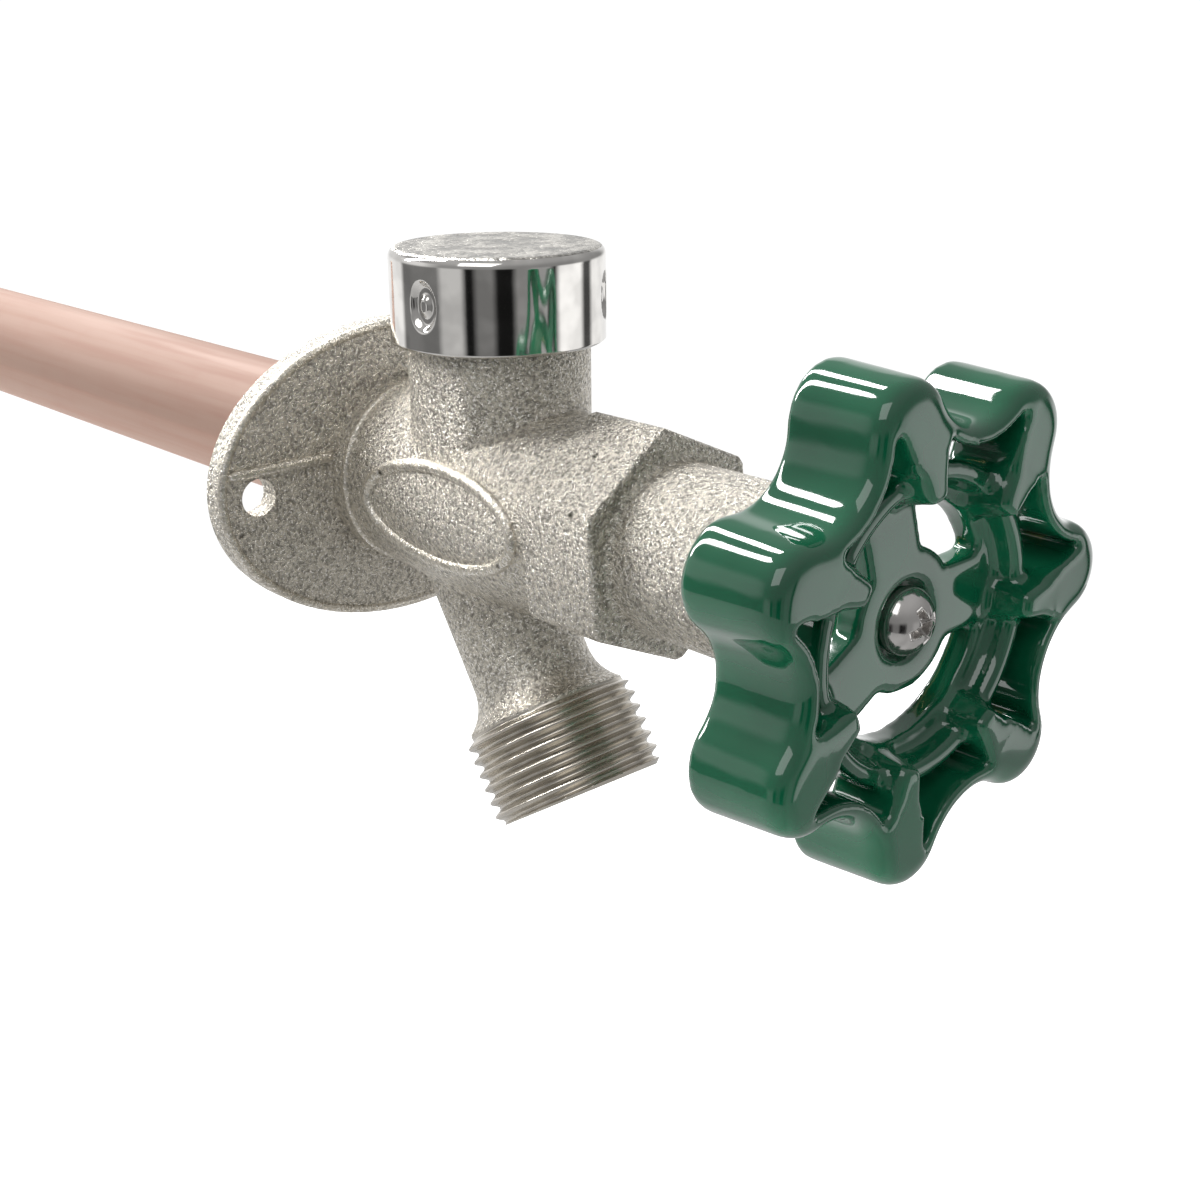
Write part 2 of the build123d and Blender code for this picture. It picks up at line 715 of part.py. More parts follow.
# Handle screw with a domed head
with BuildPart() as handle_screw:
    head_rim_station = head_back_station + screw_head_rim
    head_top_station = head_rim_station + screw_head_dome
    with BuildSketch(Plane.XY):
        with BuildLine():
            sphere_radius = (screw_head_radius ** 2 + screw_head_dome ** 2) / (2 * screw_head_dome)
            half_angle = math.asin(screw_head_radius / sphere_radius) / 2
            rim_point = (screw_head_radius, -head_rim_station)
            middle_point = (sphere_radius * math.sin(half_angle),
                            sphere_radius - head_top_station - sphere_radius * math.cos(half_angle))
            ThreePointArc(rim_point, middle_point, (0, -head_top_station))
            Polyline((0, -head_top_station), (0, -head_back_station),
                     (screw_head_radius, -head_back_station), rim_point)
        make_face()
    revolve(axis=Axis.Y)
    with BuildSketch(station_plane(head_back_station)):
        Circle(handle_screw_radius)
    extrude(amount=-handle_screw_length)

pieces = {
    "valve_body": valve_body,
    "supply_tube": supply_tube,
    "inlet_fitting": inlet_fitting,
    "packing_nut": packing_nut,
    "packing_ring": packing_ring,
    "packing_washer": packing_washer,
    "drive_screw": drive_screw,
    "stem_o_ring": stem_o_ring,
    "stem_rod": stem_rod,
    "stem_pin": stem_pin,
    "stem_guide": stem_guide,
    "washer_holder": washer_holder,
    "seat_washer": seat_washer,
    "washer_screw": washer_screw,
    "breaker_seat": breaker_seat,
    "breaker_float": breaker_float,
    "float_seal": float_seal,
    "vent_guide": vent_guide,
    "cap_gasket": cap_gasket,
    "vent_cap": vent_cap,
    "handle": handle,
    "lock_washer": lock_washer,
    "handle_screw": handle_screw,
}

for name, piece in pieces.items():
    piece.part.label = name
    export_step(piece.part, f"parts/{name}.step")
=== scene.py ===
"""Frost free sillcock: the visible pieces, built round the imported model.

Every length is in metres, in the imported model's own frame. The tube lies along Y,
the handle faces -Y and the breaker tower stands up along Z.
"""
import json
import math
import bmesh
import bpy
import numpy as np
from bpy.props import FloatProperty, FloatVectorProperty, IntProperty, PointerProperty
from mathutils import Matrix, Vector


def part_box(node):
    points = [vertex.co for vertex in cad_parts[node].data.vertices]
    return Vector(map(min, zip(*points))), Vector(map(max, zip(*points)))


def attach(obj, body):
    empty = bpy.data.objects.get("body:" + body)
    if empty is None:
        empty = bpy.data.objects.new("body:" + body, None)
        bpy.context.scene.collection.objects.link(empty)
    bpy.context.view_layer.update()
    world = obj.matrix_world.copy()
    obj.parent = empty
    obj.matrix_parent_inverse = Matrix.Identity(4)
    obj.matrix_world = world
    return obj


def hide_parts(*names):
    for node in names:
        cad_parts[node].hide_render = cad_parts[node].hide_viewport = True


bl_info = {
    "name": "Frost Free Sillcock",
    "version": (1, 0, 0),
    "blender": (4, 5, 0),
    "location": "View3D > Sidebar > Sillcock",
    "description": "Builds the visible pieces of a frost free sillcock round its packed model",
    "category": "Object",
}

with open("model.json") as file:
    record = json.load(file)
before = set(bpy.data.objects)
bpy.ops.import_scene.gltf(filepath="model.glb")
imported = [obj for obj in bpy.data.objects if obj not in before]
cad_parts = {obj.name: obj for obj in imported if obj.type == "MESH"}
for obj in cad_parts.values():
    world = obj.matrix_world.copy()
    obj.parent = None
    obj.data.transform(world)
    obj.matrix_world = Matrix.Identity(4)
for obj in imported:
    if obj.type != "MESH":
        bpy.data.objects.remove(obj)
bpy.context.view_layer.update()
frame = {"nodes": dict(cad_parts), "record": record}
MOUNTS = {mount["name"]: mount for mount in frame["record"]["mounts"]}
MM = 0.001
TURN = 2 * math.pi
MERGE_DISTANCE = 0.002 * MM
# The barrel's radius at its back, its middle and its front
BARREL_STATIONS = (3.5 * MM, 28.2 * MM, 50.4 * MM)
BARREL_RADII = (13.8 * MM, 15.5 * MM, 14.2 * MM)
# Shares of a cap stake's reach where its wall and its raised middle slope, and the middle's height
STAKE_WALL_SHARES = (0.66, 1.0)
STAKE_BOSS_SHARES = (0.2, 0.5)
STAKE_BOSS_HEIGHT_SHARE = 0.62
# The solder line's swells: each one's share of the width, its waves round the joint and its start
SOLDER_SWELLS = ((0.22, 5, 0.0), (0.14, 11, 1.0))
SOLDER_FLAT_SHARE = 0.4
# Shares of the recess's width where its walls slope, and of its reach where its arms start to fade
RECESS_WALL_SHARES = (0.75, 1.25)
RECESS_FADE_SHARE = 0.25
# Shares of the thread's wave where its flank starts and ends, and how bluntly a parting rib ends
THREAD_FLANK_SHARES = (0.08, 0.98)
RIB_END_POWER = 12
# The casting's relief against its grain: the finer glints, the pits and the smoother flank
GLINT_FINENESS = 1.7
GLINT_RELIEF_SHARE = 0.45
PIT_RELIEF_SHARE = -1.6
SMOOTH_RELIEF_SHARE = 0.35
# Edges over these angles stay sharp on beads, on the cap, on turned pieces and on the fitting
BEAD_ANGLE = math.radians(60)
CAP_ANGLE = math.radians(50)
TURNED_ANGLE = math.radians(40)
FITTING_ANGLE = math.radians(30)
# The axis of the tube, the fitting and the stem
TUBE_AXIS = (0.0, 1.0, 0.0)
SENSOR_WIDTH = 36.0
CAMERA_CLIP = (0.01, 20.0)


# Settings

def labelled(group):
    """Labels each setting of a group with its own name."""
    for name, entry in group.__annotations__.items():
        entry.keywords["name"] = name.replace("_", " ").replace("color", "colour").capitalize()
    return group


def length_setting(text, millimetres):
    """A length, given in millimetres."""
    return FloatProperty(description=text, default=millimetres * MM, unit="LENGTH")


def lengths_setting(text, *millimetres):
    """Several lengths, given in millimetres."""
    return FloatVectorProperty(description=text, default=tuple(value * MM for value in millimetres),
                               size=len(millimetres), unit="LENGTH")


def place_setting(text, *metres):
    """A place in the frame, given in metres."""
    return FloatVectorProperty(description=text, default=metres, subtype="TRANSLATION", unit="LENGTH")


def angle_setting(text, degrees):
    """An angle, given in degrees."""
    return FloatProperty(description=text, default=math.radians(degrees), subtype="ANGLE")


def angles_setting(text, *degrees):
    """Several angles, given in degrees."""
    return FloatVectorProperty(description=text, default=tuple(math.radians(value) for value in degrees),
                               size=len(degrees), unit="ROTATION")


def color_setting(text, *channels):
    """A colour, as linear red, green and blue."""
    return FloatVectorProperty(description=text, default=channels, subtype="COLOR")


def power_setting(text, watts):
    """A light's power."""
    return FloatProperty(description=text, default=watts, unit="POWER")


def number_setting(text, value):
    """A plain number."""
    return FloatProperty(description=text, default=value)


@labelled
class StageSettings(bpy.types.PropertyGroup):
    """Camera, floor, room and lights."""

    camera_place: place_setting("Where the camera stands", -0.15151, -0.21619, 0.06849)
    camera_yaw: angle_setting("Turn of the view from +Y towards +X", 42.29)
    camera_pitch: angle_setting("Tilt of the view below the horizon", 19.5)
    camera_roll: angle_setting("Roll of the camera about its view", -0.44)
    lens: FloatProperty(description="Focal length over a sensor 36 mm wide", default=49.7, unit="CAMERA")
    floor_drop: length_setting("Height of the frame's origin over the floor", 200.0)
    floor_radius: length_setting("Radius of the round floor", 520.0)
    floor_shift: length_setting("Distance of the floor's middle behind the origin", 50.0)
    floor_color: color_setting("Colour of the pale floor", 0.86, 0.86, 0.86)
    floor_glow: number_setting("Light that the camera sees the floor give off", 0.8)
    floor_mirrored: number_setting("Share of the floor's colour that reflections see", 0.5)
    floor_bounce: number_setting("Light that the floor throws up at dull surfaces", 2.2)
    room_strength: number_setting("Brightness of the room's walls and ceiling", 1.0)
    key_place: place_setting("Where the large soft light hangs", -0.62, -0.34, 0.72)
    key_target: place_setting("What the large soft light faces", 0.0, -0.05, 0.0)
    key_side: length_setting("Width and height of the large soft light", 600.0)
    key_power: power_setting("Power of the large soft light", 1.9)
    strip_power: power_setting("Power of each softbox above the wall side", 5.2)
    left_place: place_setting("Where the left softbox hangs", -0.28, 0.495, 0.535)
    right_place: place_setting("Where the right softbox hangs", 0.13, 0.495, 0.595)
    strip_target: place_setting("What both softboxes face", 0.0, -0.1, 0.0)
    strip_width: length_setting("Width of each softbox", 120.0)
    strip_length: length_setting("Length of each softbox", 600.0)


@labelled
class CastingSettings(bpy.types.PropertyGroup):
    """The cast body and its hose thread."""

    metal_color: color_setting("Colour of the plated casting", 0.76, 0.71, 0.62)
    # The bright grains are painted highlights, mixed into the casting's colour
    glint_color: color_setting("Colour of the bright grains", 1.0, 0.97, 0.91)
    # The pits are painted dark: painted shade
    pit_color: color_setting("Colour in the casting's pits", 0.12, 0.11, 0.09)
    machined_color: color_setting("Colour of the cut thread", 0.64, 0.60, 0.53)
    grain_size: length_setting("Size of the sand grain", 0.66)
    grain_depth: length_setting("Height of the sand grain", 0.74)
    # The grain's hollows are painted darker than its crests: painted shade
    shade_share: number_setting("Brightness of the grain's hollows against its crests", 0.45)
    edge_relief: number_setting("Share of the grain left on the rolled edges", 0.35)
    smooth_height: length_setting("Height below which the casting is smoother", -17.0)
    smooth_blend: length_setting("Height over which the casting turns from rough to smooth", 9.0)
    sharp_angle: angle_setting("Edges over this angle stay sharp", 32)
    thread_pitch: length_setting("Rise of the hose thread in one turn", 25.4 / 11.5)
    thread_depth: length_setting("Depth of the hose thread", 1.14)
    thread_end: length_setting("Plain chamfered length past the thread", 1.1)
    core_gap: length_setting("Depth of the cut-back spout under the thread's root", 0.35)
    cut_lead: length_setting("Length before the thread that is cut back too", 0.3)
    cut_reach: length_setting("Height over the crests that is still cut back", 0.2)
    thread_lead: length_setting("Length of the thread's run-out at the collar", 0.75)
    run_out_start: lengths_setting(
        "Where the run-out starts to rise, along the spout and over the root", 0.35, 0.04)
    run_out_slope: number_setting("Rise of the run-out along the spout", 1.9)
    sleeve_wall: length_setting("Thickness of the thread's sleeve in the core", 0.4)
    sleeve_inset: length_setting("How far the sleeve's inner ends stand back", 0.2)
    line_depth: length_setting("Depth of the cut thread's turned lines", 0.003)
    rim_station: length_setting("Distance of the oval rim's middle from the wall", 30.6)
    rim_half_length: length_setting("Half the oval rim's length along the barrel", 16.9)
    rim_half_height: length_setting("Half the oval rim's height", 7.1)
    rim_section: length_setting("Radius of the rim's rounded section", 1.0)
    rim_proud: length_setting("Height of the rim over the barrel", 0.8)
    rib_height: length_setting("Height of the flange's parting rib over the tube's axis", 4.0)
    rib_reach: lengths_setting("Inner and outer ends of the rib from the tube's axis", 13.0, 32.6)
    rib_section: lengths_setting("How far the rib stands out, and half its width", 0.9, 0.85)
    flange_face: length_setting("Distance of the flange's front face from the wall", 3.5)
    flange_half: lengths_setting("Half the flange's width and half its height", 34.2, 23.9)
    shoulder: lengths_setting("Radius of the barrel's shoulder and its front's station", 14.5, 7.5)
    edge_section: length_setting("Radius of the rolled edges' rounded section", 0.75)
    edge_proud: length_setting("Height of the rolled edges over their faces", 0.35)


@labelled
class CapSettings(bpy.types.PropertyGroup):
    """The vent cap."""

    metal_color: color_setting("Colour of the plated cap", 0.82, 0.80, 0.77)
    satin_color: color_setting("Colour of the cap's speckled top", 0.78, 0.75, 0.69)
    wall: length_setting("Thickness of the cap's wall", 1.15)
    side_relief: length_setting("Height of the polished side's ripple", 0.004)
    top_relief: length_setting("Height of the satin top's speckle", 0.5)
    top_depth: length_setting("Depth below the top that is satin too", 0.25)
    lip_chamfer: length_setting("Bevel round the cap's open end", 0.3)
    edge_radius: length_setting("Round between the cap's side and top", 1.4)
    stake_half_width: length_setting("Half the width of a staked dimple", 2.6)
    stake_half_height: length_setting("Half the height of a staked dimple", 3.8)
    stake_depth: length_setting("Depth of a staked dimple", 0.9)
    stake_height: length_setting("Height of the dimples over the origin", 30.5)
    stake_count: IntProperty(description="Number of staked dimples", default=3, min=1)
    first_stake: angle_setting("Direction of the first dimple from +X towards +Y", -171)


@labelled
class HandleSettings(bpy.types.PropertyGroup):
    """The enamelled wheel handle."""

    enamel_color: color_setting("Colour of the enamel", 0.005, 0.111, 0.05)
    deep_color: color_setting("Colour where the enamel lies thick", 0.003, 0.075, 0.034)
    ripple_depth: length_setting("Height of the enamel's faint waves", 0.03)
    voxel: length_setting("Cell size of the softened surface", 0.44)
    softening: IntProperty(description="Smoothing passes over the dipped edges", default=15, min=0)
    base_station: length_setting("Distance from the wall past which the front is shaped", 102.0)
    web_station: length_setting("Distance of the web's face from the wall", 104.0)
    ring_station: length_setting("Distance of the inner ring's front edge from the wall", 107.2)
    front_station: length_setting("Distance of the rim's front from the wall", 110.0)
    dish_radius: lengths_setting("Radii where the packed dish starts and meets the front", 15.0, 22.85)
    ring_radius: lengths_setting("Radii of the inner ring's wall at its foot and its edge", 16.7, 17.9)
    pocket_radius: lengths_setting("Radii between which the pockets rise to the front", 20.3, 21.8)
    finger_radius: lengths_setting("Radii of a finger's inner end at its foot and its top", 15.5, 16.8)
    finger_span: lengths_setting("Radii between which a finger's two sides spread", 18.0, 30.0)
    finger_lead: angles_setting("Angle from the lobe to the finger's leading side, at both radii", 0.5, 6.5)
    finger_lag: angles_setting(
        "Angle from the lobe to the finger's trailing side, at both radii", 13.5, 12.0)
    side_blend: lengths_setting(
        "Distances inside a finger's side where its slope starts and ends", -0.4, 0.7)
    first_lobe: angle_setting("Direction of the first lobe from +X towards +Z", 3.6)
    lobe_count: IntProperty(description="Number of lobes", default=7, min=3)


@labelled
class TubeSettings(bpy.types.PropertyGroup):
    """The copper tube, the fitting on its end and the solder between them."""

    copper_color: color_setting("Colour of the dull copper", 0.325, 0.207, 0.16)
    streak_color: color_setting("Colour of the copper's lengthwise streaks", 0.31, 0.18, 0.138)
    brass_color: color_setting("Colour of turned brass", 0.72, 0.56, 0.25)
    streak_depth: length_setting("Depth of the copper's streaks", 0.02)
    line_depth: length_setting("Depth of the brass's turned lines", 0.01)
    wall: length_setting("Thickness of the tube's wall", 1.14)
    solder_color: color_setting("Colour of the solder", 0.62, 0.60, 0.57)
    solder_relief: length_setting("Height of the solder's ripple", 0.05)
    solder_radius: length_setting("Radius of the solder's rounded line", 0.45)


@labelled
class ScrewSettings(bpy.types.PropertyGroup):
    """The handle's screw with its cross recess."""

    steel_color: color_setting("Colour of the polished steel", 0.70, 0.68, 0.66)
    line_depth: length_setting("Depth of the steel's turned lines", 0.003)
    shank_radius: length_setting("Radius of the screw's shank", 2.4)
    dome_height: length_setting("Rise of the head over its rim", 2.7)
    rim_height: length_setting("Straight side of the head", 1.1)
    recess_reach: length_setting("Reach of each arm of the cross recess", 2.7)
    recess_width: length_setting("Half width of the recess's arms", 0.6)
    recess_depth: length_setting("Depth of the recess at its middle", 1.5)
    turn: angle_setting("Turn of the cross about the screw", 20)


@labelled
class SealSettings(bpy.types.PropertyGroup):
    """The seals and the moulded pieces."""

    rubber_color: color_setting("Colour of the rubber seals", 0.03, 0.03, 0.03)
    rubber_relief: length_setting("Height of the rubber's grain", 0.02)
    moulded_color: color_setting("Colour of the stem's guide", 0.05, 0.05, 0.055)
    pale_color: color_setting("Colour of the float and its guide", 0.5, 0.51, 0.52)
    moulded_relief: length_setting("Height of the moulded grain", 0.01)
    packing_color: color_setting("Colour of the soft packing", 0.8, 0.8, 0.77)
    packing_relief: length_setting("Height of the packing's grain", 0.03)


# Meshes

def smoothstep(low, high, values):
    """0 below low, 1 above high, and a smooth S between them."""
    share = np.clip((values - low) / (high - low), 0.0, 1.0)
    return share * share * (3 - 2 * share)


def even_angles(count):
    """Even angles round a full turn."""
    return np.arange(count) * TURN / count


def turned_grid(reach, place, angles, upright=False):
    """A profile's points turned about Y, or about Z if it stands upright, a row for each angle.

    Each point lies at its reach from the axis and at its place along it.
    """
    first, second = reach * np.cos(angles)[:, None], reach * np.sin(angles)[:, None]
    place = np.broadcast_to(place, first.shape)
    return np.stack((first, second, place) if upright else (first, place, second), axis=-1)


def merge_points(mesh, turn_outwards):
    """Joins the points that meet, and turns the faces outwards where asked."""
    work = bmesh.new()
    work.from_mesh(mesh)
    bmesh.ops.remove_doubles(work, verts=work.verts, dist=MERGE_DISTANCE)
    if turn_outwards:
        bmesh.ops.recalc_face_normals(work, faces=work.faces)
    work.to_mesh(mesh)
    work.free()
    return mesh


def grid_mesh(name, points, close_rows, close_columns):
    """A mesh of quads over a grid of points, one row after the other.

    points has the shape (rows, columns, 3). Each quad joins a point to its neighbours in the
    next row and column, and a closed direction runs round to its start. Points that meet at a
    pole or along a seam are merged, and the normals are then turned outwards.
    """
    rows, columns = points.shape[:2]
    number = np.arange(rows * columns).reshape(rows, columns)
    row = np.arange(rows if close_rows else rows - 1)
    column = np.arange(columns if close_columns else columns - 1)
    here, there = np.meshgrid(row, column, indexing="ij")
    after_row, after_column = (here + 1) % rows, (there + 1) % columns
    faces = np.stack((number[here, there], number[after_row, there],
                      number[after_row, after_column], number[here, after_column]), axis=-1)
    mesh = bpy.data.meshes.new(name)
    mesh.from_pydata(points.reshape(-1, 3).tolist(), [], faces.reshape(-1, 4).tolist())
    return merge_points(mesh, True)


def merged_copy(node, name):
    """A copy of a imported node's mesh, with its loose triangles joined and their normals kept out."""
    mesh = frame["nodes"][node].data.copy()
    mesh.name = name
    normals = mesh.attributes.get("custom_normal")
    if normals:
        mesh.attributes.remove(normals)
    return merge_points(mesh, False)


def rows_of(items, key):
    """A vector of each vertex or face, as an array of rows."""
    flat = np.empty(len(items) * 3)
    items.foreach_get(key, flat)
    return flat.reshape(-1, 3)


def new_object(name, data):
    """A new object in the scene."""
    made = bpy.data.objects.new(name, data)
    bpy.context.scene.collection.objects.link(made)
    return made


def add_piece(name, mesh, body, materials, sharp_angle=None):
    """Puts a finished mesh into the scene as a piece that rides on a body. It is shaded smooth,
    apart from its edges over the sharp angle, if there is one.
    """
    mesh.shade_smooth()
    if sharp_angle is not None:
        mesh.set_sharp_from_angle(angle=sharp_angle)
    mesh.materials.clear()
    for material in materials:
        mesh.materials.append(material)
    piece = new_object(name, mesh)
    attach(piece, body)
    return piece


def dress(nodes, material):
    """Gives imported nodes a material."""
    for node in nodes:
        mesh = frame["nodes"][node].data
        mesh.materials.clear()
        mesh.materials.append(material)


# Material graphs

def add_node(tree, kind, inputs=None, **values):
    """Adds a node, sets its properties, and sets or links its inputs."""
    node = tree.nodes.new(kind)
    for key, value in values.items():
        setattr(node, key, value)
    for key, value in (inputs or {}).items():
        if isinstance(value, bpy.types.NodeSocket):
            tree.links.new(value, node.inputs[key])
        else:
            node.inputs[key].default_value = value
    return node


def math_node(tree, operation, first, second):
    """The result of one sum on two values."""
    return add_node(tree, "ShaderNodeMath", {0: first, 1: second}, operation=operation).outputs[0]


def spread(tree, value, low, high, to_low=0.0, to_high=1.0):
    """Maps a value smoothly from one span to another."""
    node = add_node(tree, "ShaderNodeMapRange", {
        "Value": value, "From Min": low, "From Max": high, "To Min": to_low, "To Max": to_high},
        interpolation_type="SMOOTHSTEP")
    return node.outputs["Result"]


def noise(tree, inputs, **values):
    """The value of a noise texture."""
    return add_node(tree, "ShaderNodeTexNoise", inputs, **values).outputs[0]


def mix_color(tree, share, first, second):
    """Blends two colours by a share."""
    first, second = (color if isinstance(color, bpy.types.NodeSocket) else (*color, 1.0)
                     for color in (first, second))
    return add_node(tree, "ShaderNodeMix", {0: share, 6: first, 7: second}, data_type="RGBA").outputs[2]


def dimmed(color, share):
    """A colour with each channel brought down to a share."""
    return [channel * share for channel in color]


def mottled(tree, value, low, high, color, share, least=0.0):
    """A colour that is brought down to a share where a value is low."""
    return mix_color(tree, spread(tree, value, low, high, least), dimmed(color, share), color)


def new_group(name, inputs):
    """An empty shader group, its inputs by name and the object's own coordinates."""
    group = bpy.data.node_groups.new(name, "ShaderNodeTree")
    for label, default in inputs.items():
        kind = "NodeSocketVector" if isinstance(default, tuple) else "NodeSocketFloat"
        socket = group.interface.new_socket(name=label, in_out="INPUT", socket_type=kind)
        socket.default_value = default
    source = group.nodes.new("NodeGroupInput").outputs
    return group, source, add_node(group, "ShaderNodeTexCoord").outputs["Object"]


def close_group(group, results):
    """Gives a shader group its outputs by name."""
    for label in results:
        group.interface.new_socket(name=label, in_out="OUTPUT", socket_type="NodeSocketFloat")
    sink = group.nodes.new("NodeGroupOutput")
    for label, result in results.items():
        group.links.new(result, sink.inputs[label])
    return group


def build_grain(name):
    """Noise of a stated scale with coarser lumps in it, as a height from 0 to 1."""
    group, source, place = new_group(name, {"Scale": 1000.0, "Lump Share": 0.3})
    lump_scale = math_node(group, "MULTIPLY", source["Scale"], 0.21)
    fine = noise(group, {"Vector": place, "Scale": source["Scale"], "Detail": 3.0, "Roughness": 0.62})
    lumps = noise(group, {"Vector": place, "Scale": lump_scale, "Detail": 2.0, "Roughness": 0.5})
    height = add_node(group, "ShaderNodeMix", {
        0: source["Lump Share"], 2: fine, 3: lumps}, data_type="FLOAT").outputs[0]
    return close_group(group, {"Height": height, "Lumps": lumps})


def build_pits(name):
    """Scattered round pits: cells whose random value passes a limit, dark at their middle."""
    group, source, place = new_group(name, {"Scale": 300.0, "Share": 0.1, "Radius": 0.25})
    cells = add_node(group, "ShaderNodeTexVoronoi", {"Vector": place, "Scale": source["Scale"]})
    chance = add_node(group, "ShaderNodeSeparateColor", {"Color": cells.outputs["Color"]})
    chosen = math_node(group, "LESS_THAN", chance.outputs[0], source["Share"])
    closeness = spread(group, cells.outputs["Distance"], source["Radius"], 0.0)
    return close_group(group, {"Mask": math_node(group, "MULTIPLY", chosen, closeness)})


def build_lines(name):
    """Fine turned lines square to an axis: one-dimensional noise of the distance along it."""
    group, source, place = new_group(name, {"Axis": TUBE_AXIS, "Scale": 3000.0})
    along = add_node(group, "ShaderNodeVectorMath", {0: place, 1: source["Axis"]},
                     operation="DOT_PRODUCT").outputs["Value"]
    lines = noise(group, {"W": along, "Scale": source["Scale"], "Detail": 2.0}, noise_dimensions="1D")
    return close_group(group, {"Lines": lines})


def build_streaks(name):
    """Streaks along Y, which are noise squeezed across and stretched along the tube, and stains."""
    group, source, place = new_group(name, {"Scale": 400.0, "Stretch": 0.05})
    stretch = add_node(group, "ShaderNodeCombineXYZ", {"X": 1.0, "Y": source["Stretch"], "Z": 1.0})
    squeezed = add_node(group, "ShaderNodeVectorMath", {0: place, 1: stretch.outputs[0]},
                        operation="MULTIPLY").outputs[0]
    streaks = noise(group, {"Vector": squeezed, "Scale": source["Scale"], "Detail": 4.0})
    mottle = noise(group, {"Vector": place, "Scale": 130.0, "Detail": 3.0})
    return close_group(group, {"Streaks": streaks, "Mottle": mottle})


GROUPS = {
    "Surface Grain": build_grain,
    "Scattered Pits": build_pits,
    "Turned Lines": build_lines,
    "Tube Streaks": build_streaks,
}


def use_group(tree, name, inputs):
    """The outputs of a shared group, with its own values in this material. The group is built the
    first time that it is asked for.
    """
    group = bpy.data.node_groups.get(name) or GROUPS[name](name)
    return add_node(tree, "ShaderNodeGroup", inputs, node_tree=group).outputs


def new_material(name):
    """A material with a Principled shader, as its tree and that shader."""
    material = bpy.data.materials.new(name)
    material.use_nodes = True
    return material, material.node_tree, material.node_tree.nodes["Principled BSDF"]


def surface(tree, shader, color, roughness, metallic, height, depth):
    """Feeds a shader its colour, its roughness, its share of metal and a relief of a stated depth."""
    tree.links.new(color, shader.inputs["Base Color"])
    tree.links.new(roughness, shader.inputs["Roughness"])
    shader.inputs["Metallic"].default_value = metallic
    relief = add_node(tree, "ShaderNodeBump", {"Height": height, "Distance": depth, "Strength": 1.0})
    tree.links.new(relief.outputs["Normal"], shader.inputs["Normal"])


def cast_material(name, relief_share, shade_share):
    """Plated sand casting: grain, painted glints, painted shade in its hollows and pits, and a smoother
    lower flank.
    """
    values = bpy.context.scene.sillcock_casting
    material, tree, shader = new_material(name)
    grain = use_group(tree, "Surface Grain", {
        "Scale": 1 / values.grain_size, "Lump Share": 0.1})["Height"]
    glints = use_group(tree, "Surface Grain", {
        "Scale": GLINT_FINENESS / values.grain_size, "Lump Share": 0.05})["Height"]
    pits = use_group(tree, "Scattered Pits", {"Scale": 260.0, "Share": 0.07, "Radius": 0.16})["Mask"]
    place = add_node(tree, "ShaderNodeTexCoord").outputs["Object"]
    height = add_node(tree, "ShaderNodeSeparateXYZ", {0: place}).outputs["Z"]
    rough_share = spread(tree, height, values.smooth_height - values.smooth_blend,
                         values.smooth_height, SMOOTH_RELIEF_SHARE)
    # Painted shade: the colour is brought down where the grain lies low
    metal = mottled(tree, grain, 0.36, 0.60, values.metal_color, shade_share)
    # Painted highlights: the colour turns to the glint colour where the finer noise is high
    metal = mix_color(tree, spread(tree, glints, 0.54, 0.62), metal, values.glint_color)
    # Painted shade in the pits
    color = mix_color(tree, pits, metal, values.pit_color)
    sparkle = spread(tree, glints, 0.40, 0.62, 0.46, 0.2)
    dip = math_node(tree, "MULTIPLY", pits, PIT_RELIEF_SHARE)
    fine = math_node(tree, "MULTIPLY", glints, GLINT_RELIEF_SHARE)
    relief = math_node(tree, "MULTIPLY", math_node(tree, "ADD", grain, fine), rough_share)
    surface(tree, shader, color, sparkle, 1.0, math_node(tree, "ADD", relief, dip),
            values.grain_depth * relief_share)
    return material


def turned_material(name, color, axis, roughness, line_depth, line_scale=3000.0):
    """Turned metal: fine lines round an axis and a faint mottle in its colour."""
    material, tree, shader = new_material(name)
    lines = use_group(tree, "Turned Lines", {"Axis": axis, "Scale": line_scale})["Lines"]
    lumps = use_group(tree, "Surface Grain", {"Scale": 700.0, "Lump Share": 0.6})["Lumps"]
    surface(tree, shader, mottled(tree, lumps, 0.3, 0.7, color, 0.72, 0.35),
            spread(tree, lines, 0.3, 0.7, roughness * 0.7, roughness * 1.4), 1.0, lines, line_depth)
    return material


def plain_material(name, color, metallic, roughness, grain_scale, depth, shade_share=0.8,
                   tone_from="Lumps"):
    """A moulded or plated surface: its colour, sheen and fine relief vary a little."""
    material, tree, shader = new_material(name)
    grain = use_group(tree, "Surface Grain", {"Scale": grain_scale, "Lump Share": 0.5})
    sheen = spread(tree, grain["Height"], 0.3, 0.7, roughness * 0.8, roughness * 1.2)
    surface(tree, shader, mottled(tree, grain[tone_from], 0.38, 0.62, color, shade_share),
            sheen, metallic, grain["Height"], depth)
    return material


def enamel_material():
    """Glossy dipped enamel with a faint waviness and slightly uneven depth of colour."""
    values = bpy.context.scene.sillcock_handle
    material, tree, shader = new_material("green_enamel_surface")
    peel = use_group(tree, "Surface Grain", {"Scale": 330.0, "Lump Share": 0.7})
    tone = spread(tree, peel["Lumps"], 0.25, 0.75)
    color = mix_color(tree, tone, values.deep_color, values.enamel_color)
    sheen = spread(tree, peel["Height"], 0.3, 0.7, 0.05, 0.09)
    surface(tree, shader, color, sheen, 0.0, peel["Lumps"], values.ripple_depth)
    shader.inputs["Coat Weight"].default_value = 0.7
    shader.inputs["Coat Roughness"].default_value = 0.02
    shader.inputs["Coat IOR"].default_value = 1.6
    return material


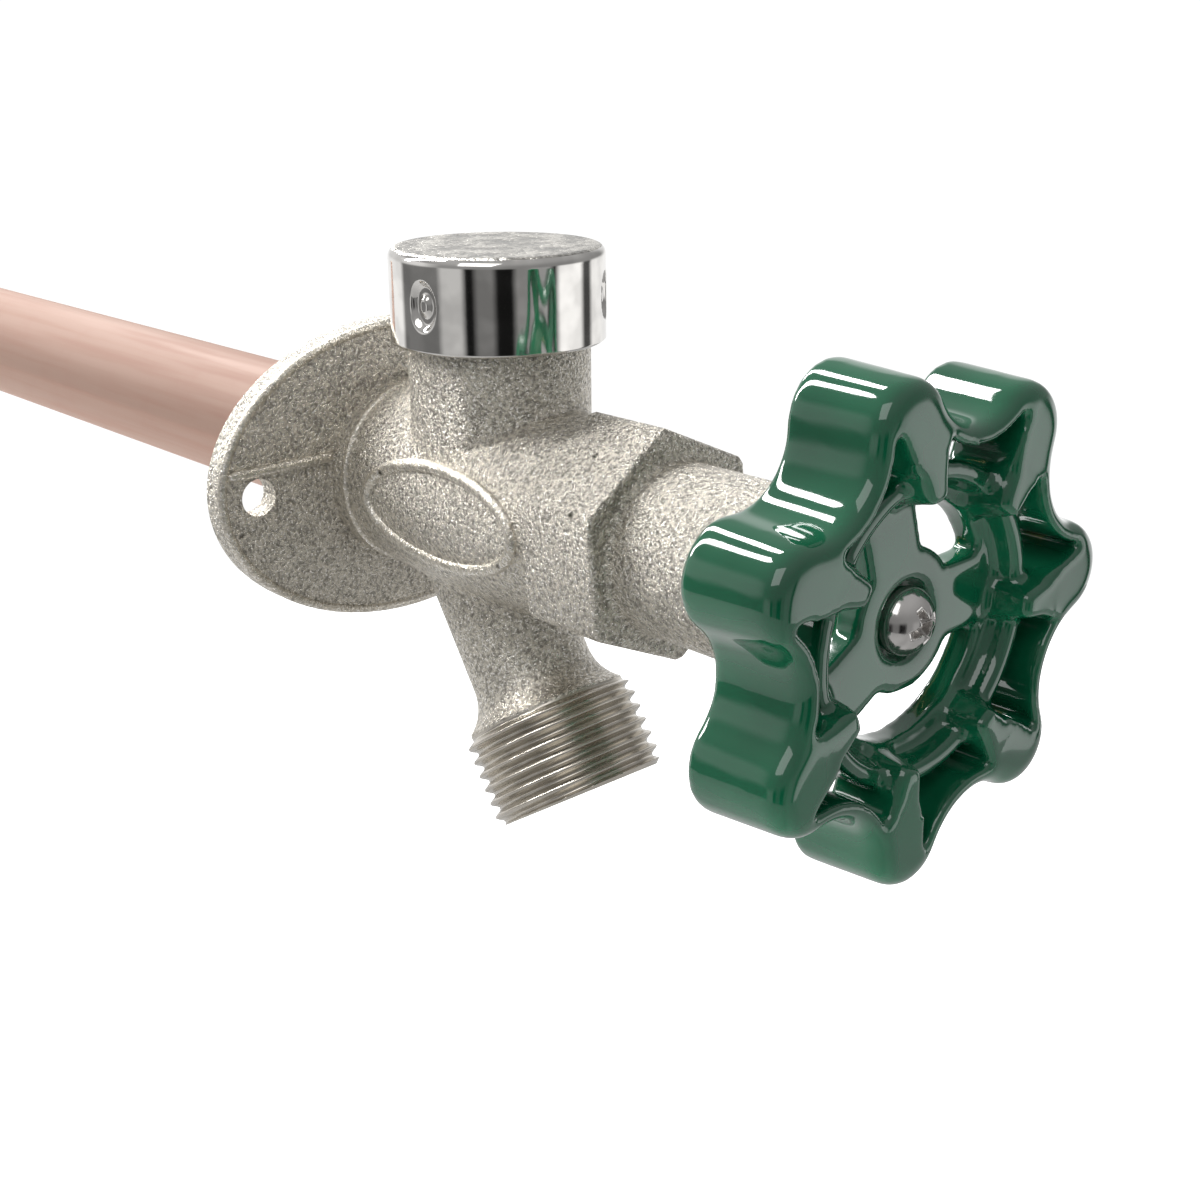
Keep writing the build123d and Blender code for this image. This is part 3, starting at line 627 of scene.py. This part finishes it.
def copper_material():
    """Dull drawn copper: lengthwise streaks and stains over a pink base."""
    values = bpy.context.scene.sillcock_tube
    material, tree, shader = new_material("copper_tube_surface")
    marks = use_group(tree, "Tube Streaks", {"Scale": 520.0, "Stretch": 0.035})
    color = values.copper_color
    for share in (spread(tree, marks["Streaks"], 0.42, 0.72, 0.0, 0.75),
                  spread(tree, marks["Mottle"], 0.5, 0.75, 0.0, 0.35)):
        color = mix_color(tree, share, color, values.streak_color)
    sheen = spread(tree, marks["Streaks"], 0.3, 0.7, 0.58, 0.7)
    surface(tree, shader, color, sheen, 0.2, marks["Streaks"], values.streak_depth)
    return material


# Stage

# Low bands of the room: each one's end, as a share of the turn from -X, and its grey
ROOM_BANDS = (
    (0.042, 0.60), (0.075, 0.01), (0.1325, 0.22), (0.19, 0.01), (0.243, 0.30), (0.303, 0.42),
    (0.322, 0.01), (0.4175, 1.2), (0.459, 0.08), (0.815, 1.04), (0.966, 0.2), (1.0, 0.60))
BAND_BLEND = 0.009


def stage_world(strength):
    """A dim room that only reflections see: banded low walls, a bright strip low behind the tap
    and a grey ceiling. The camera itself sees plain white.
    """
    world = bpy.data.worlds.new("studio_room")
    bpy.context.scene.world = world
    world.use_nodes = True
    tree = world.node_tree
    back = tree.nodes["Background"]
    direction = add_node(tree, "ShaderNodeTexCoord").outputs["Generated"]
    parts = add_node(tree, "ShaderNodeSeparateXYZ", {0: direction})
    turn = math_node(tree, "ARCTAN2", parts.outputs["Y"], parts.outputs["X"])
    share = math_node(tree, "DIVIDE", math_node(tree, "ADD", turn, math.pi), TURN)
    walls = add_node(tree, "ShaderNodeValToRGB", {"Fac": share})
    stops = []
    start = 0.0
    for end, grey in ROOM_BANDS:
        stops += [(start + BAND_BLEND, grey), (end - BAND_BLEND, grey)]
        start = end
    ramp = walls.color_ramp
    while len(ramp.elements) < len(stops):
        ramp.elements.new(1.0)
    for element, (place, grey) in zip(ramp.elements, stops):
        element.position = place
        element.color = (grey, grey, grey, 1.0)
    ceiling = spread(tree, parts.outputs["Z"], 0.2, 0.9, 0.30, 0.46)
    behind = spread(tree, parts.outputs["Y"], 0.15, 0.6, 0.0, 1.0)
    strip = spread(tree, parts.outputs["Z"], 0.56, 0.38, 0.0, 0.5)
    upper = math_node(tree, "ADD", ceiling, math_node(tree, "MULTIPLY", behind, strip))
    low = spread(tree, parts.outputs["Z"], -0.1, 0.12, 1.0, 0.0)
    tone = mix_color(tree, low, upper, walls.outputs["Color"])
    seen = add_node(tree, "ShaderNodeLightPath").outputs["Is Camera Ray"]
    tree.links.new(mix_color(tree, seen, tone, (1.06, 1.06, 1.06)), back.inputs["Color"])
    back.inputs["Strength"].default_value = strength


def floor_material():
    """A pale floor with the faintest mottle. The camera sees it glow a little, it throws light up
    at dull surfaces, and it mirrors dimmer than it looks.
    """
    values = bpy.context.scene.sillcock_stage
    material, tree, shader = new_material("pale_floor_surface")
    lumps = use_group(tree, "Surface Grain", {"Scale": 60.0, "Lump Share": 0.5})["Lumps"]
    shown = mottled(tree, lumps, 0.3, 0.7, values.floor_color, 0.99)
    mirrored = dimmed(values.floor_color, values.floor_mirrored)
    rays = add_node(tree, "ShaderNodeLightPath").outputs
    tree.links.new(mix_color(tree, rays["Is Glossy Ray"], shown, mirrored),
                   shader.inputs["Base Color"])
    shader.inputs["Roughness"].default_value = 0.8
    shader.inputs["Emission Color"].default_value = (1.0, 1.0, 1.0, 1.0)
    seen = math_node(tree, "MULTIPLY", rays["Is Camera Ray"], values.floor_glow)
    thrown = math_node(tree, "MULTIPLY", rays["Is Diffuse Ray"], values.floor_bounce)
    tree.links.new(math_node(tree, "ADD", seen, thrown), shader.inputs["Emission Strength"])
    return material


def aim(made, across, upward, forward, place):
    """Places a camera or a light, which looks along its own -Z."""
    turned = np.eye(4)
    turned[:3] = np.stack((across, upward, -forward, place), axis=1)
    made.matrix_world = Matrix(turned.tolist())


def area_light(name, place, target, size_x, size_y, power):
    """A rectangular soft light that faces a target."""
    light = bpy.data.lights.new(name, "AREA")
    light.shape = "RECTANGLE"
    light.size, light.size_y = size_x, size_y
    light.energy = power
    forward = np.array(target) - np.array(place)
    forward = forward / np.linalg.norm(forward)
    across = np.cross(forward, (0.0, 0.0, 1.0))
    across = across / np.linalg.norm(across)
    aim(new_object(name, light), across, np.cross(across, forward), forward, place)


class SILLCOCK_OT_stage(bpy.types.Operator):
    """Makes the floor, the room, the lights and the camera"""

    bl_idname = "sillcock.stage"
    bl_label = "Stage"

    def execute(self, context):
        values = context.scene.sillcock_stage
        context.scene.view_settings.view_transform = "Standard"
        rings = np.linspace(0.0, values.floor_radius, 9)
        points = turned_grid(rings, -values.floor_drop, even_angles(96), upright=True)
        points += (0.0, values.floor_shift, 0.0)
        floor = new_object("pale_floor", grid_mesh("pale_floor", points, True, False))
        floor.data.materials.append(floor_material())
        stage_world(values.room_strength)
        area_light("key_light", values.key_place, values.key_target, values.key_side,
                   values.key_side, values.key_power)
        for name, place in (("softbox_left", values.left_place),
                            ("softbox_right", values.right_place)):
            area_light(name, place, values.strip_target, values.strip_width, values.strip_length,
                       values.strip_power)
        yaw, pitch, roll = values.camera_yaw, values.camera_pitch, values.camera_roll
        forward = np.array((math.sin(yaw) * math.cos(pitch), math.cos(yaw) * math.cos(pitch),
                            -math.sin(pitch)))
        level = np.array((math.cos(yaw), -math.sin(yaw), 0.0))
        upright = np.cross(level, forward)
        camera = new_object("photo_camera", bpy.data.cameras.new("photo_camera"))
        camera.data.lens = values.lens
        camera.data.sensor_width = SENSOR_WIDTH
        camera.data.clip_start, camera.data.clip_end = CAMERA_CLIP
        aim(camera, level * math.cos(roll) + upright * math.sin(roll),
            upright * math.cos(roll) - level * math.sin(roll), forward, values.camera_place)
        context.scene.camera = camera
        return {"FINISHED"}


def spout_axes():
    """The thread's middle, and three unit vectors: two across the spout and one along it."""
    mount = MOUNTS["hose_thread"]
    along = np.array(mount["axis"], float)
    along = along / np.linalg.norm(along)
    across = np.array((1.0, 0.0, 0.0))
    return np.array(mount["pos_m"], float), across, np.cross(along, across), along


class SILLCOCK_OT_casting(bpy.types.Operator):
    """Makes the cast body, with the thread's place cut back, and the hose thread over it"""

    bl_idname = "sillcock.casting"
    bl_label = "Cast body and thread"

    def execute(self, context):
        values = context.scene.sillcock_casting
        middle, across, upward, along = spout_axes()
        dims = MOUNTS["hose_thread"]["dims"]
        crest, half = dims["r_mm"] * MM, dims["length_mm"] * MM / 2
        core = crest - values.thread_depth - values.core_gap
        mesh = merged_copy("valve_body", "cast_body")
        points = rows_of(mesh.vertices, "co")
        offset = points - middle
        station = offset @ along
        outward = offset - np.outer(station, along)
        reach = np.linalg.norm(outward, axis=1)
        cut = (station > -half - values.cut_lead) & (reach > core) & (reach < crest + values.cut_reach)
        points[cut] -= outward[cut] * (1 - core / reach[cut])[:, None]
        mesh.vertices.foreach_set("co", points.ravel())
        rough = cast_material("cast_nickel_surface", 1.0, values.shade_share)
        # A lighter copy of the casting for the rim, the rolled edges and the ribs: less relief, and less
        # painted shade in its hollows, so a painted highlight
        smooth_highlit_edge = cast_material("cast_edge_surface", values.edge_relief, math.sqrt(values.shade_share))
        body = add_piece("cast_body", mesh, "casing", [rough], values.sharp_angle)
        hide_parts("valve_body")
        self.oval_rim(values, smooth_highlit_edge)
        self.rolled_edges(values, smooth_highlit_edge)
        for name, side in (("parting_rib_left", -1.0), ("parting_rib_right", 1.0)):
            self.parting_rib(values, smooth_highlit_edge, name, side)
        self.thread(values, middle, across, upward, along, crest, half, core)
        return {"FINISHED"}

    def oval_rim(self, values, smooth_highlit_edge):
        """The raised rim round the bare oval: a rounded bead laid along an ellipse.

        The ellipse is drawn in station and height and wrapped over the barrel, whose radius at a
        station is the parabola through its two ends and its middle. The bead is a circle swept
        along that path, sunk so that it stands proud by the stated height.
        """
        around = even_angles(260)
        station = values.rim_station + values.rim_half_length * np.cos(around)
        height = values.rim_half_height * np.sin(around)
        radius = np.polyval(np.polyfit(BARREL_STATIONS, BARREL_RADII, 2), station)
        outward = np.stack((
            -np.sqrt(1 - (height / radius) ** 2), np.zeros(len(around)), height / radius), axis=-1)
        path = outward * (radius + values.rim_proud - values.rim_section)[:, None]
        path[:, 1] = -station
        self.bead("oval_rim", path, outward, values.rim_section, smooth_highlit_edge)

    def rolled_edges(self, values, smooth_highlit_edge):
        """The flange's rolled edge, along an ellipse just inside its outline, and the ring round
        the barrel's foot, along a circle just inside the shoulder's corner.
        """
        around = even_angles(360)
        level = np.zeros(len(around))
        section, proud = values.edge_section, values.edge_proud
        half_width, half_height = (half - section for half in values.flange_half)
        foot, front = (size + proud - section for size in values.shoulder)
        for name, wide, high, station in (
                ("flange_edge_bead", half_width, half_height, values.flange_face + proud - section),
                ("shoulder_bead", foot, foot, front)):
            path = np.stack((wide * np.cos(around), level - station, high * np.sin(around)), axis=-1)
            outward = np.stack((high * np.cos(around), level, wide * np.sin(around)), axis=-1)
            outward /= np.linalg.norm(outward, axis=1)[:, None]
            self.bead(name, path, outward, section, smooth_highlit_edge)

    def bead(self, name, path, outward, radius, material):
        """A rounded bead: a circle swept along a closed path, square to it."""
        forward = np.roll(path, -1, axis=0) - np.roll(path, 1, axis=0)
        forward /= np.linalg.norm(forward, axis=1)[:, None]
        across = np.cross(forward, outward)
        section = even_angles(20)
        grid = path[:, None, :] + radius * (
            np.cos(section)[None, :, None] * outward[:, None, :]
            + np.sin(section)[None, :, None] * across[:, None, :])
        mesh = grid_mesh(name, grid, True, True)
        add_piece(name, mesh, "casing", [material], BEAD_ANGLE)

    def parting_rib(self, values, smooth_highlit_edge, name, side):
        """The rib along the flange's parting line: a long half-sunk ellipsoid.

        Its section is an ellipse that keeps its size along the rib and closes to a point at both
        ends over a short, rounded run.
        """
        share = np.linspace(0.0, 1.0, 60)
        inner, outer = values.rib_reach
        width = np.sqrt(1 - np.abs(share * 2 - 1) ** RIB_END_POWER)
        section = even_angles(24)
        out, half = values.rib_section
        grid = np.stack((
            np.broadcast_to(side * (inner + (outer - inner) * share), (len(section), len(share))),
            -values.flange_face + out * np.cos(section)[:, None] * width[None, :],
            values.rib_height + half * np.sin(section)[:, None] * width[None, :]), axis=-1)
        mesh = grid_mesh(name, grid, True, False)
        add_piece(name, mesh, "casing", [smooth_highlit_edge], BEAD_ANGLE)

    def thread(self, values, middle, across, upward, along, crest, half, core):
        """The hose thread: a helical ridge as one closed surface round the spout's core.

        A point's radius is the root plus the depth times a rounded triangle wave. The wave's
        phase is the station over the pitch, less the angle in turns, so the crests climb one
        pitch in a turn. A run-out at the collar and the end's chamfer limit the radius.
        """
        end = half + values.thread_end
        start = -half - values.thread_lead
        stations = np.linspace(start, end, 190)
        angles = even_angles(168)
        root = crest - values.thread_depth
        phase = stations[None, :] / values.thread_pitch - angles[:, None] / TURN
        wave = np.abs((phase % 1.0) * 2 - 1)
        ridge = root + values.thread_depth * smoothstep(*THREAD_FLANK_SHARES, wave)
        run, rise = values.run_out_start
        run_out = root + rise + np.maximum(stations - start - run, 0.0) * values.run_out_slope
        chamfer = crest - values.thread_end + (end - stations)
        outer = np.minimum(np.minimum(ridge, run_out[None, :]), chamfer[None, :])
        inner_radius = core - values.sleeve_wall
        back = (end - values.sleeve_inset, start + values.sleeve_inset)
        radius = np.concatenate(
            (outer, np.full((len(angles), 1), core), np.full((len(angles), 2), inner_radius)), axis=1)
        place = np.concatenate((stations, (end,), back))
        ring = np.cos(angles)[:, None] * across + np.sin(angles)[:, None] * upward
        grid = middle + radius[:, :, None] * ring[:, None, :] + place[None, :, None] * along
        cut_metal = turned_material("cut_thread_surface", values.machined_color, tuple(along), 0.24,
                                    values.line_depth, 2400.0)
        add_piece("hose_thread", grid_mesh("hose_thread", grid, True, True), "casing",
                  [cut_metal], values.sharp_angle)


class SILLCOCK_OT_cap(bpy.types.Operator):
    """Makes the chromed vent cap with its staked dimples"""

    bl_idname = "sillcock.cap"
    bl_label = "Vent cap"

    def execute(self, context):
        """The cap is a profile turned about the tower's axis, from the inside round the lip and
        over the top. Its sides are pushed in at each stake, by the full depth inside the stake's
        ellipse, less a raised middle, with a smooth step at the rim.
        """
        values = context.scene.sillcock_cap
        low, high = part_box("vent_cap")
        axis_x, axis_y = (low.x + high.x) / 2, (low.y + high.y) / 2
        radius, wall, edge = (high.x - low.x) / 2, values.wall, values.edge_radius
        bend = np.linspace(0.0, math.pi / 2, 9)
        side = np.linspace(low.z + values.lip_chamfer, high.z - edge, 64)
        inner_side = np.linspace(high.z - wall, low.z, 48)
        lead = np.linspace(0.0, radius - wall, 6)
        top = np.linspace(radius - edge, 0.0, 14)[1:]
        reach = np.concatenate((
            lead, np.full(len(inner_side), radius - wall), (radius - values.lip_chamfer,),
            np.full(len(side), radius), radius - edge + edge * np.cos(bend[1:]), top))
        height = np.concatenate((
            np.full(len(lead), high.z - wall), inner_side, (low.z,), side,
            high.z - edge + edge * np.sin(bend[1:]), np.full(len(top), high.z)))
        angles = even_angles(336)
        push = np.zeros((len(angles), len(reach)))
        on_side = (height < high.z - edge) & (reach > radius - wall - MERGE_DISTANCE)
        for index in range(values.stake_count):
            bearing = values.first_stake + TURN / values.stake_count * index
            swing = (angles - bearing + math.pi) % TURN - math.pi
            away = np.hypot(swing[:, None] * radius / values.stake_half_width,
                            (height[None, :] - values.stake_height) / values.stake_half_height)
            hollow = 1 - smoothstep(*STAKE_WALL_SHARES, away)
            boss = 1 - smoothstep(*STAKE_BOSS_SHARES, away)
            dent = hollow - STAKE_BOSS_HEIGHT_SHARE * boss
            push += dent * values.stake_depth * on_side[None, :]
        grid = turned_grid(reach - push, height, angles, upright=True) + (axis_x, axis_y, 0.0)
        mesh = grid_mesh("vent_cap_shell", grid, True, False)
        side_material = plain_material("chrome_side_surface", values.metal_color, 1.0, 0.07, 900.0,
                                       values.side_relief)
        # The satin top is painted darker where its speckled relief lies low: painted shade
        top_material = plain_material("satin_top_surface", values.satin_color, 1.0, 0.26, 1150.0,
                                      values.top_relief, shade_share=0.38, tone_from="Height")
        cap = add_piece("vent_cap_shell", mesh, "casing",
                        [side_material, top_material], CAP_ANGLE)
        on_top = rows_of(mesh.polygons, "center")[:, 2] > high.z - values.top_depth
        mesh.polygons.foreach_set("material_index", on_top.astype(np.int32))
        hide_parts("vent_cap")
        return {"FINISHED"}


class SILLCOCK_OT_handle(bpy.types.Operator):
    """Makes the wheel handle, softened as dipped enamel leaves it"""

    bl_idname = "sillcock.handle"
    bl_label = "Wheel handle"

    def execute(self, context):
        """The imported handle's surface is rebuilt from even cells, its dish is shaped, and it is
        rebuilt again. Each vertex is then drawn towards the mean of its neighbours, which rounds
        every edge as enamel does.
        """
        values = context.scene.sillcock_handle
        mesh = self.rebuilt(context, merged_copy("handle", "rough_handle"), values.voxel, 0)
        points = rows_of(mesh.vertices, "co")
        points[:, 1] = -self.shaped(values, points)
        mesh.vertices.foreach_set("co", points.ravel())
        mesh = self.rebuilt(context, mesh, values.voxel, values.softening)
        mesh.name = "enamel_handle"
        handle = add_piece("enamel_handle", mesh, "stem", [enamel_material()])
        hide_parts("handle")
        return {"FINISHED"}

    def rebuilt(self, context, mesh, voxel, softening):
        """The mesh remade from even cells and smoothed."""
        rough = new_object("rough_handle", mesh)
        cells = rough.modifiers.new("Cells", "REMESH")
        cells.mode = "VOXEL"
        cells.voxel_size = voxel
        soften = rough.modifiers.new("Soften", "SMOOTH")
        soften.factor = 0.5
        soften.iterations = softening
        graph = context.evaluated_depsgraph_get()
        remade = bpy.data.meshes.new_from_object(rough.evaluated_get(graph))
        bpy.data.objects.remove(rough)
        return remade

    def shaped(self, values, points):
        """New stations for the front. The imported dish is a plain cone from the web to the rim.

        Every column of points between the base and the cone is stretched or squeezed to a new
        height. Inside the ring that is the web, then a steep wall up to the ring's edge, and
        outside the ring the rim's front. Along each finger it is the rim's front as far in as
        the finger's end. A finger lies between two directions that spread with the radius.
        """
        station = -points[:, 1]
        reach = np.hypot(points[:, 0], points[:, 2])
        turn = np.arctan2(points[:, 2], points[:, 0])
        web, ring, front = values.web_station, values.ring_station, values.front_station
        start, end = values.dish_radius
        cone = web + (front - web) * np.clip((reach - start) / (end - start), 0.0, 1.0)
        wanted = web + (ring - web) * smoothstep(*values.ring_radius, reach)
        wanted += (front - ring) * smoothstep(*values.pocket_radius, reach)
        finger = web + (front - web) * smoothstep(*values.finger_radius, reach)
        near, far = values.finger_span
        span = (reach - near) / (far - near)
        lead, lag = (first + (last - first) * span
                     for first, last in (values.finger_lead, values.finger_lag))
        step = TURN / values.lobe_count
        swing = (turn - values.first_lobe + step / 2) % step - step / 2
        inside = np.minimum(lead - swing, swing + lag) * reach
        wanted += (finger - wanted) * smoothstep(*values.side_blend, inside)
        base = values.base_station
        stretch = np.where(station > base, (wanted - base) / (cone - base), 1.0)
        return base + (station - base) * stretch


class SILLCOCK_OT_screw(bpy.types.Operator):
    """Makes the handle's domed screw with its cross recess, and dresses its washer"""

    bl_idname = "sillcock.screw"
    bl_label = "Handle screw"

    def execute(self, context):
        """The screw is a profile turned about Y, from the dome's middle over the rim and down the
        shank. The recess lowers the dome by its depth times a mask of two crossed bars, which
        fades towards the arms' ends.
        """
        values = context.scene.sillcock_screw
        low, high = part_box("handle_screw")
        radius = (high.x - low.x) / 2
        shank = values.shank_radius
        dome_radius = (radius ** 2 + values.dome_height ** 2) / (2 * values.dome_height)
        rise = np.linspace(0.0, 1.0, 72) * radius
        dome = low.y + dome_radius - np.sqrt(dome_radius ** 2 - rise ** 2)
        rim = low.y + values.dome_height
        back = rim + values.rim_height
        reach = np.concatenate((rise, (radius, shank, shank, 0.0)))
        depth = np.concatenate((dome, (back, back, high.y, high.y)))
        angles = even_angles(180)
        flat_x = reach[None, :] * np.cos(angles - values.turn)[:, None]
        flat_z = reach[None, :] * np.sin(angles - values.turn)[:, None]
        bars = np.zeros(flat_x.shape)
        for along, across in ((flat_x, flat_z), (flat_z, flat_x)):
            wall = (values.recess_width * share for share in RECESS_WALL_SHARES)
            narrow = 1 - smoothstep(*wall, np.abs(across))
            taper = 1 - smoothstep(values.recess_reach * RECESS_FADE_SHARE, values.recess_reach,
                                   np.abs(along))
            bars = np.maximum(bars, narrow * taper)
        bars[:, len(rise):] = 0.0
        grid = turned_grid(reach, depth + bars * values.recess_depth, angles)
        steel = turned_material("polished_steel_surface", values.steel_color, TUBE_AXIS, 0.12,
                                values.line_depth)
        screw = add_piece("domed_screw", grid_mesh("domed_screw", grid, True, False), "stem",
                          [steel], TURNED_ANGLE)
        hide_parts("handle_screw")
        dress(("lock_washer", "stem_pin", "washer_screw"), steel)
        return {"FINISHED"}


class SILLCOCK_OT_tube(bpy.types.Operator):
    """Makes the copper tube and dresses the fitting, with a line of solder between them"""

    bl_idname = "sillcock.tube"
    bl_label = "Tube and fitting"

    def execute(self, context):
        """The tube is a closed rectangle of wall turned about Y. The solder is a flattened ring
        whose width swells and shrinks a little round the joint.
        """
        values = context.scene.sillcock_tube
        low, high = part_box("supply_tube")
        radius = (high.x - low.x) / 2
        lengths = np.linspace(low.y, high.y, 24)
        reach = np.repeat((radius, radius - values.wall), len(lengths))
        place = np.concatenate((lengths, lengths[::-1]))
        angles = even_angles(144)
        mesh = grid_mesh("copper_tube", turned_grid(reach, place, angles), True, True)
        tube = add_piece("copper_tube", mesh, "casing", [copper_material()],
                         TURNED_ANGLE)
        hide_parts("supply_tube")
        section = even_angles(16)
        swell = 1 + sum(share * np.sin(angles * waves + start) for share, waves, start in SOLDER_SWELLS)
        reach = radius + values.solder_radius * SOLDER_FLAT_SHARE * np.cos(section)[None, :]
        place = high.y + values.solder_radius * swell[:, None] * np.sin(section)[None, :]
        solder = plain_material("solder_surface", values.solder_color, 1.0, 0.32, 1200.0,
                                values.solder_relief)
        mesh = grid_mesh("solder_line", turned_grid(reach, place, angles), True, True)
        add_piece("solder_line", mesh, "casing", [solder], BEAD_ANGLE)
        brass = turned_material("turned_brass_surface", values.brass_color, TUBE_AXIS, 0.2,
                                values.line_depth)
        dress(("packing_nut", "packing_washer", "drive_screw", "stem_rod", "washer_holder",
               "breaker_seat"), brass)
        mesh = merged_copy("inlet_fitting", "barb_fitting")
        fitting = add_piece("barb_fitting", mesh, "casing", [brass], FITTING_ANGLE)
        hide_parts("inlet_fitting")
        return {"FINISHED"}


class SILLCOCK_OT_seals(bpy.types.Operator):
    """Dresses the seals and the moulded pieces"""

    bl_idname = "sillcock.seals"
    bl_label = "Seals and moulded pieces"

    def execute(self, context):
        values = context.scene.sillcock_seals
        for name, color, roughness, grain_scale, relief, nodes in (
                ("rubber_surface", values.rubber_color, 0.55, 1500.0, values.rubber_relief,
                 ("stem_o_ring", "seat_washer", "float_seal", "cap_gasket")),
                ("moulded_surface", values.moulded_color, 0.38, 1100.0, values.moulded_relief,
                 ("stem_guide",)),
                ("pale_moulded_surface", values.pale_color, 0.38, 1100.0, values.moulded_relief,
                 ("breaker_float", "vent_guide")),
                ("packing_surface", values.packing_color, 0.6, 1800.0, values.packing_relief,
                 ("packing_ring",))):
            dress(nodes, plain_material(name, color, 0.0, roughness, grain_scale, relief))
        return {"FINISHED"}


OPERATORS = (
    SILLCOCK_OT_stage,
    SILLCOCK_OT_casting,
    SILLCOCK_OT_cap,
    SILLCOCK_OT_handle,
    SILLCOCK_OT_screw,
    SILLCOCK_OT_tube,
    SILLCOCK_OT_seals,
)
SETTINGS = {
    "sillcock_stage": StageSettings,
    "sillcock_casting": CastingSettings,
    "sillcock_cap": CapSettings,
    "sillcock_handle": HandleSettings,
    "sillcock_tube": TubeSettings,
    "sillcock_screw": ScrewSettings,
    "sillcock_seals": SealSettings,
}


class SILLCOCK_PT_panel(bpy.types.Panel):
    """Lists the sillcock's pieces"""

    bl_label = "Sillcock"
    bl_idname = "SILLCOCK_PT_panel"
    bl_space_type = "VIEW_3D"
    bl_region_type = "UI"
    bl_category = "Sillcock"

    def draw(self, context):
        for operator in OPERATORS:
            self.layout.operator(operator.bl_idname)


def register():
    """Adds the settings, the operators and the panel to Blender."""
    for name, group in SETTINGS.items():
        bpy.utils.register_class(group)
        setattr(bpy.types.Scene, name, PointerProperty(type=group))
    for operator in OPERATORS:
        bpy.utils.register_class(operator)
    bpy.utils.register_class(SILLCOCK_PT_panel)


def unregister():
    """Takes the panel, the operators and the settings out of Blender again."""
    bpy.utils.unregister_class(SILLCOCK_PT_panel)
    for operator in reversed(OPERATORS):
        bpy.utils.unregister_class(operator)
    for name, group in reversed(SETTINGS.items()):
        delattr(bpy.types.Scene, name)
        bpy.utils.unregister_class(group)


def main():
    """Registers the add-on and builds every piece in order."""
    register()
    bpy.ops.sillcock.stage()
    bpy.ops.sillcock.casting()
    bpy.ops.sillcock.cap()
    bpy.ops.sillcock.handle()
    bpy.ops.sillcock.screw()
    bpy.ops.sillcock.tube()
    bpy.ops.sillcock.seals()


if __name__ == "__main__":
    main()
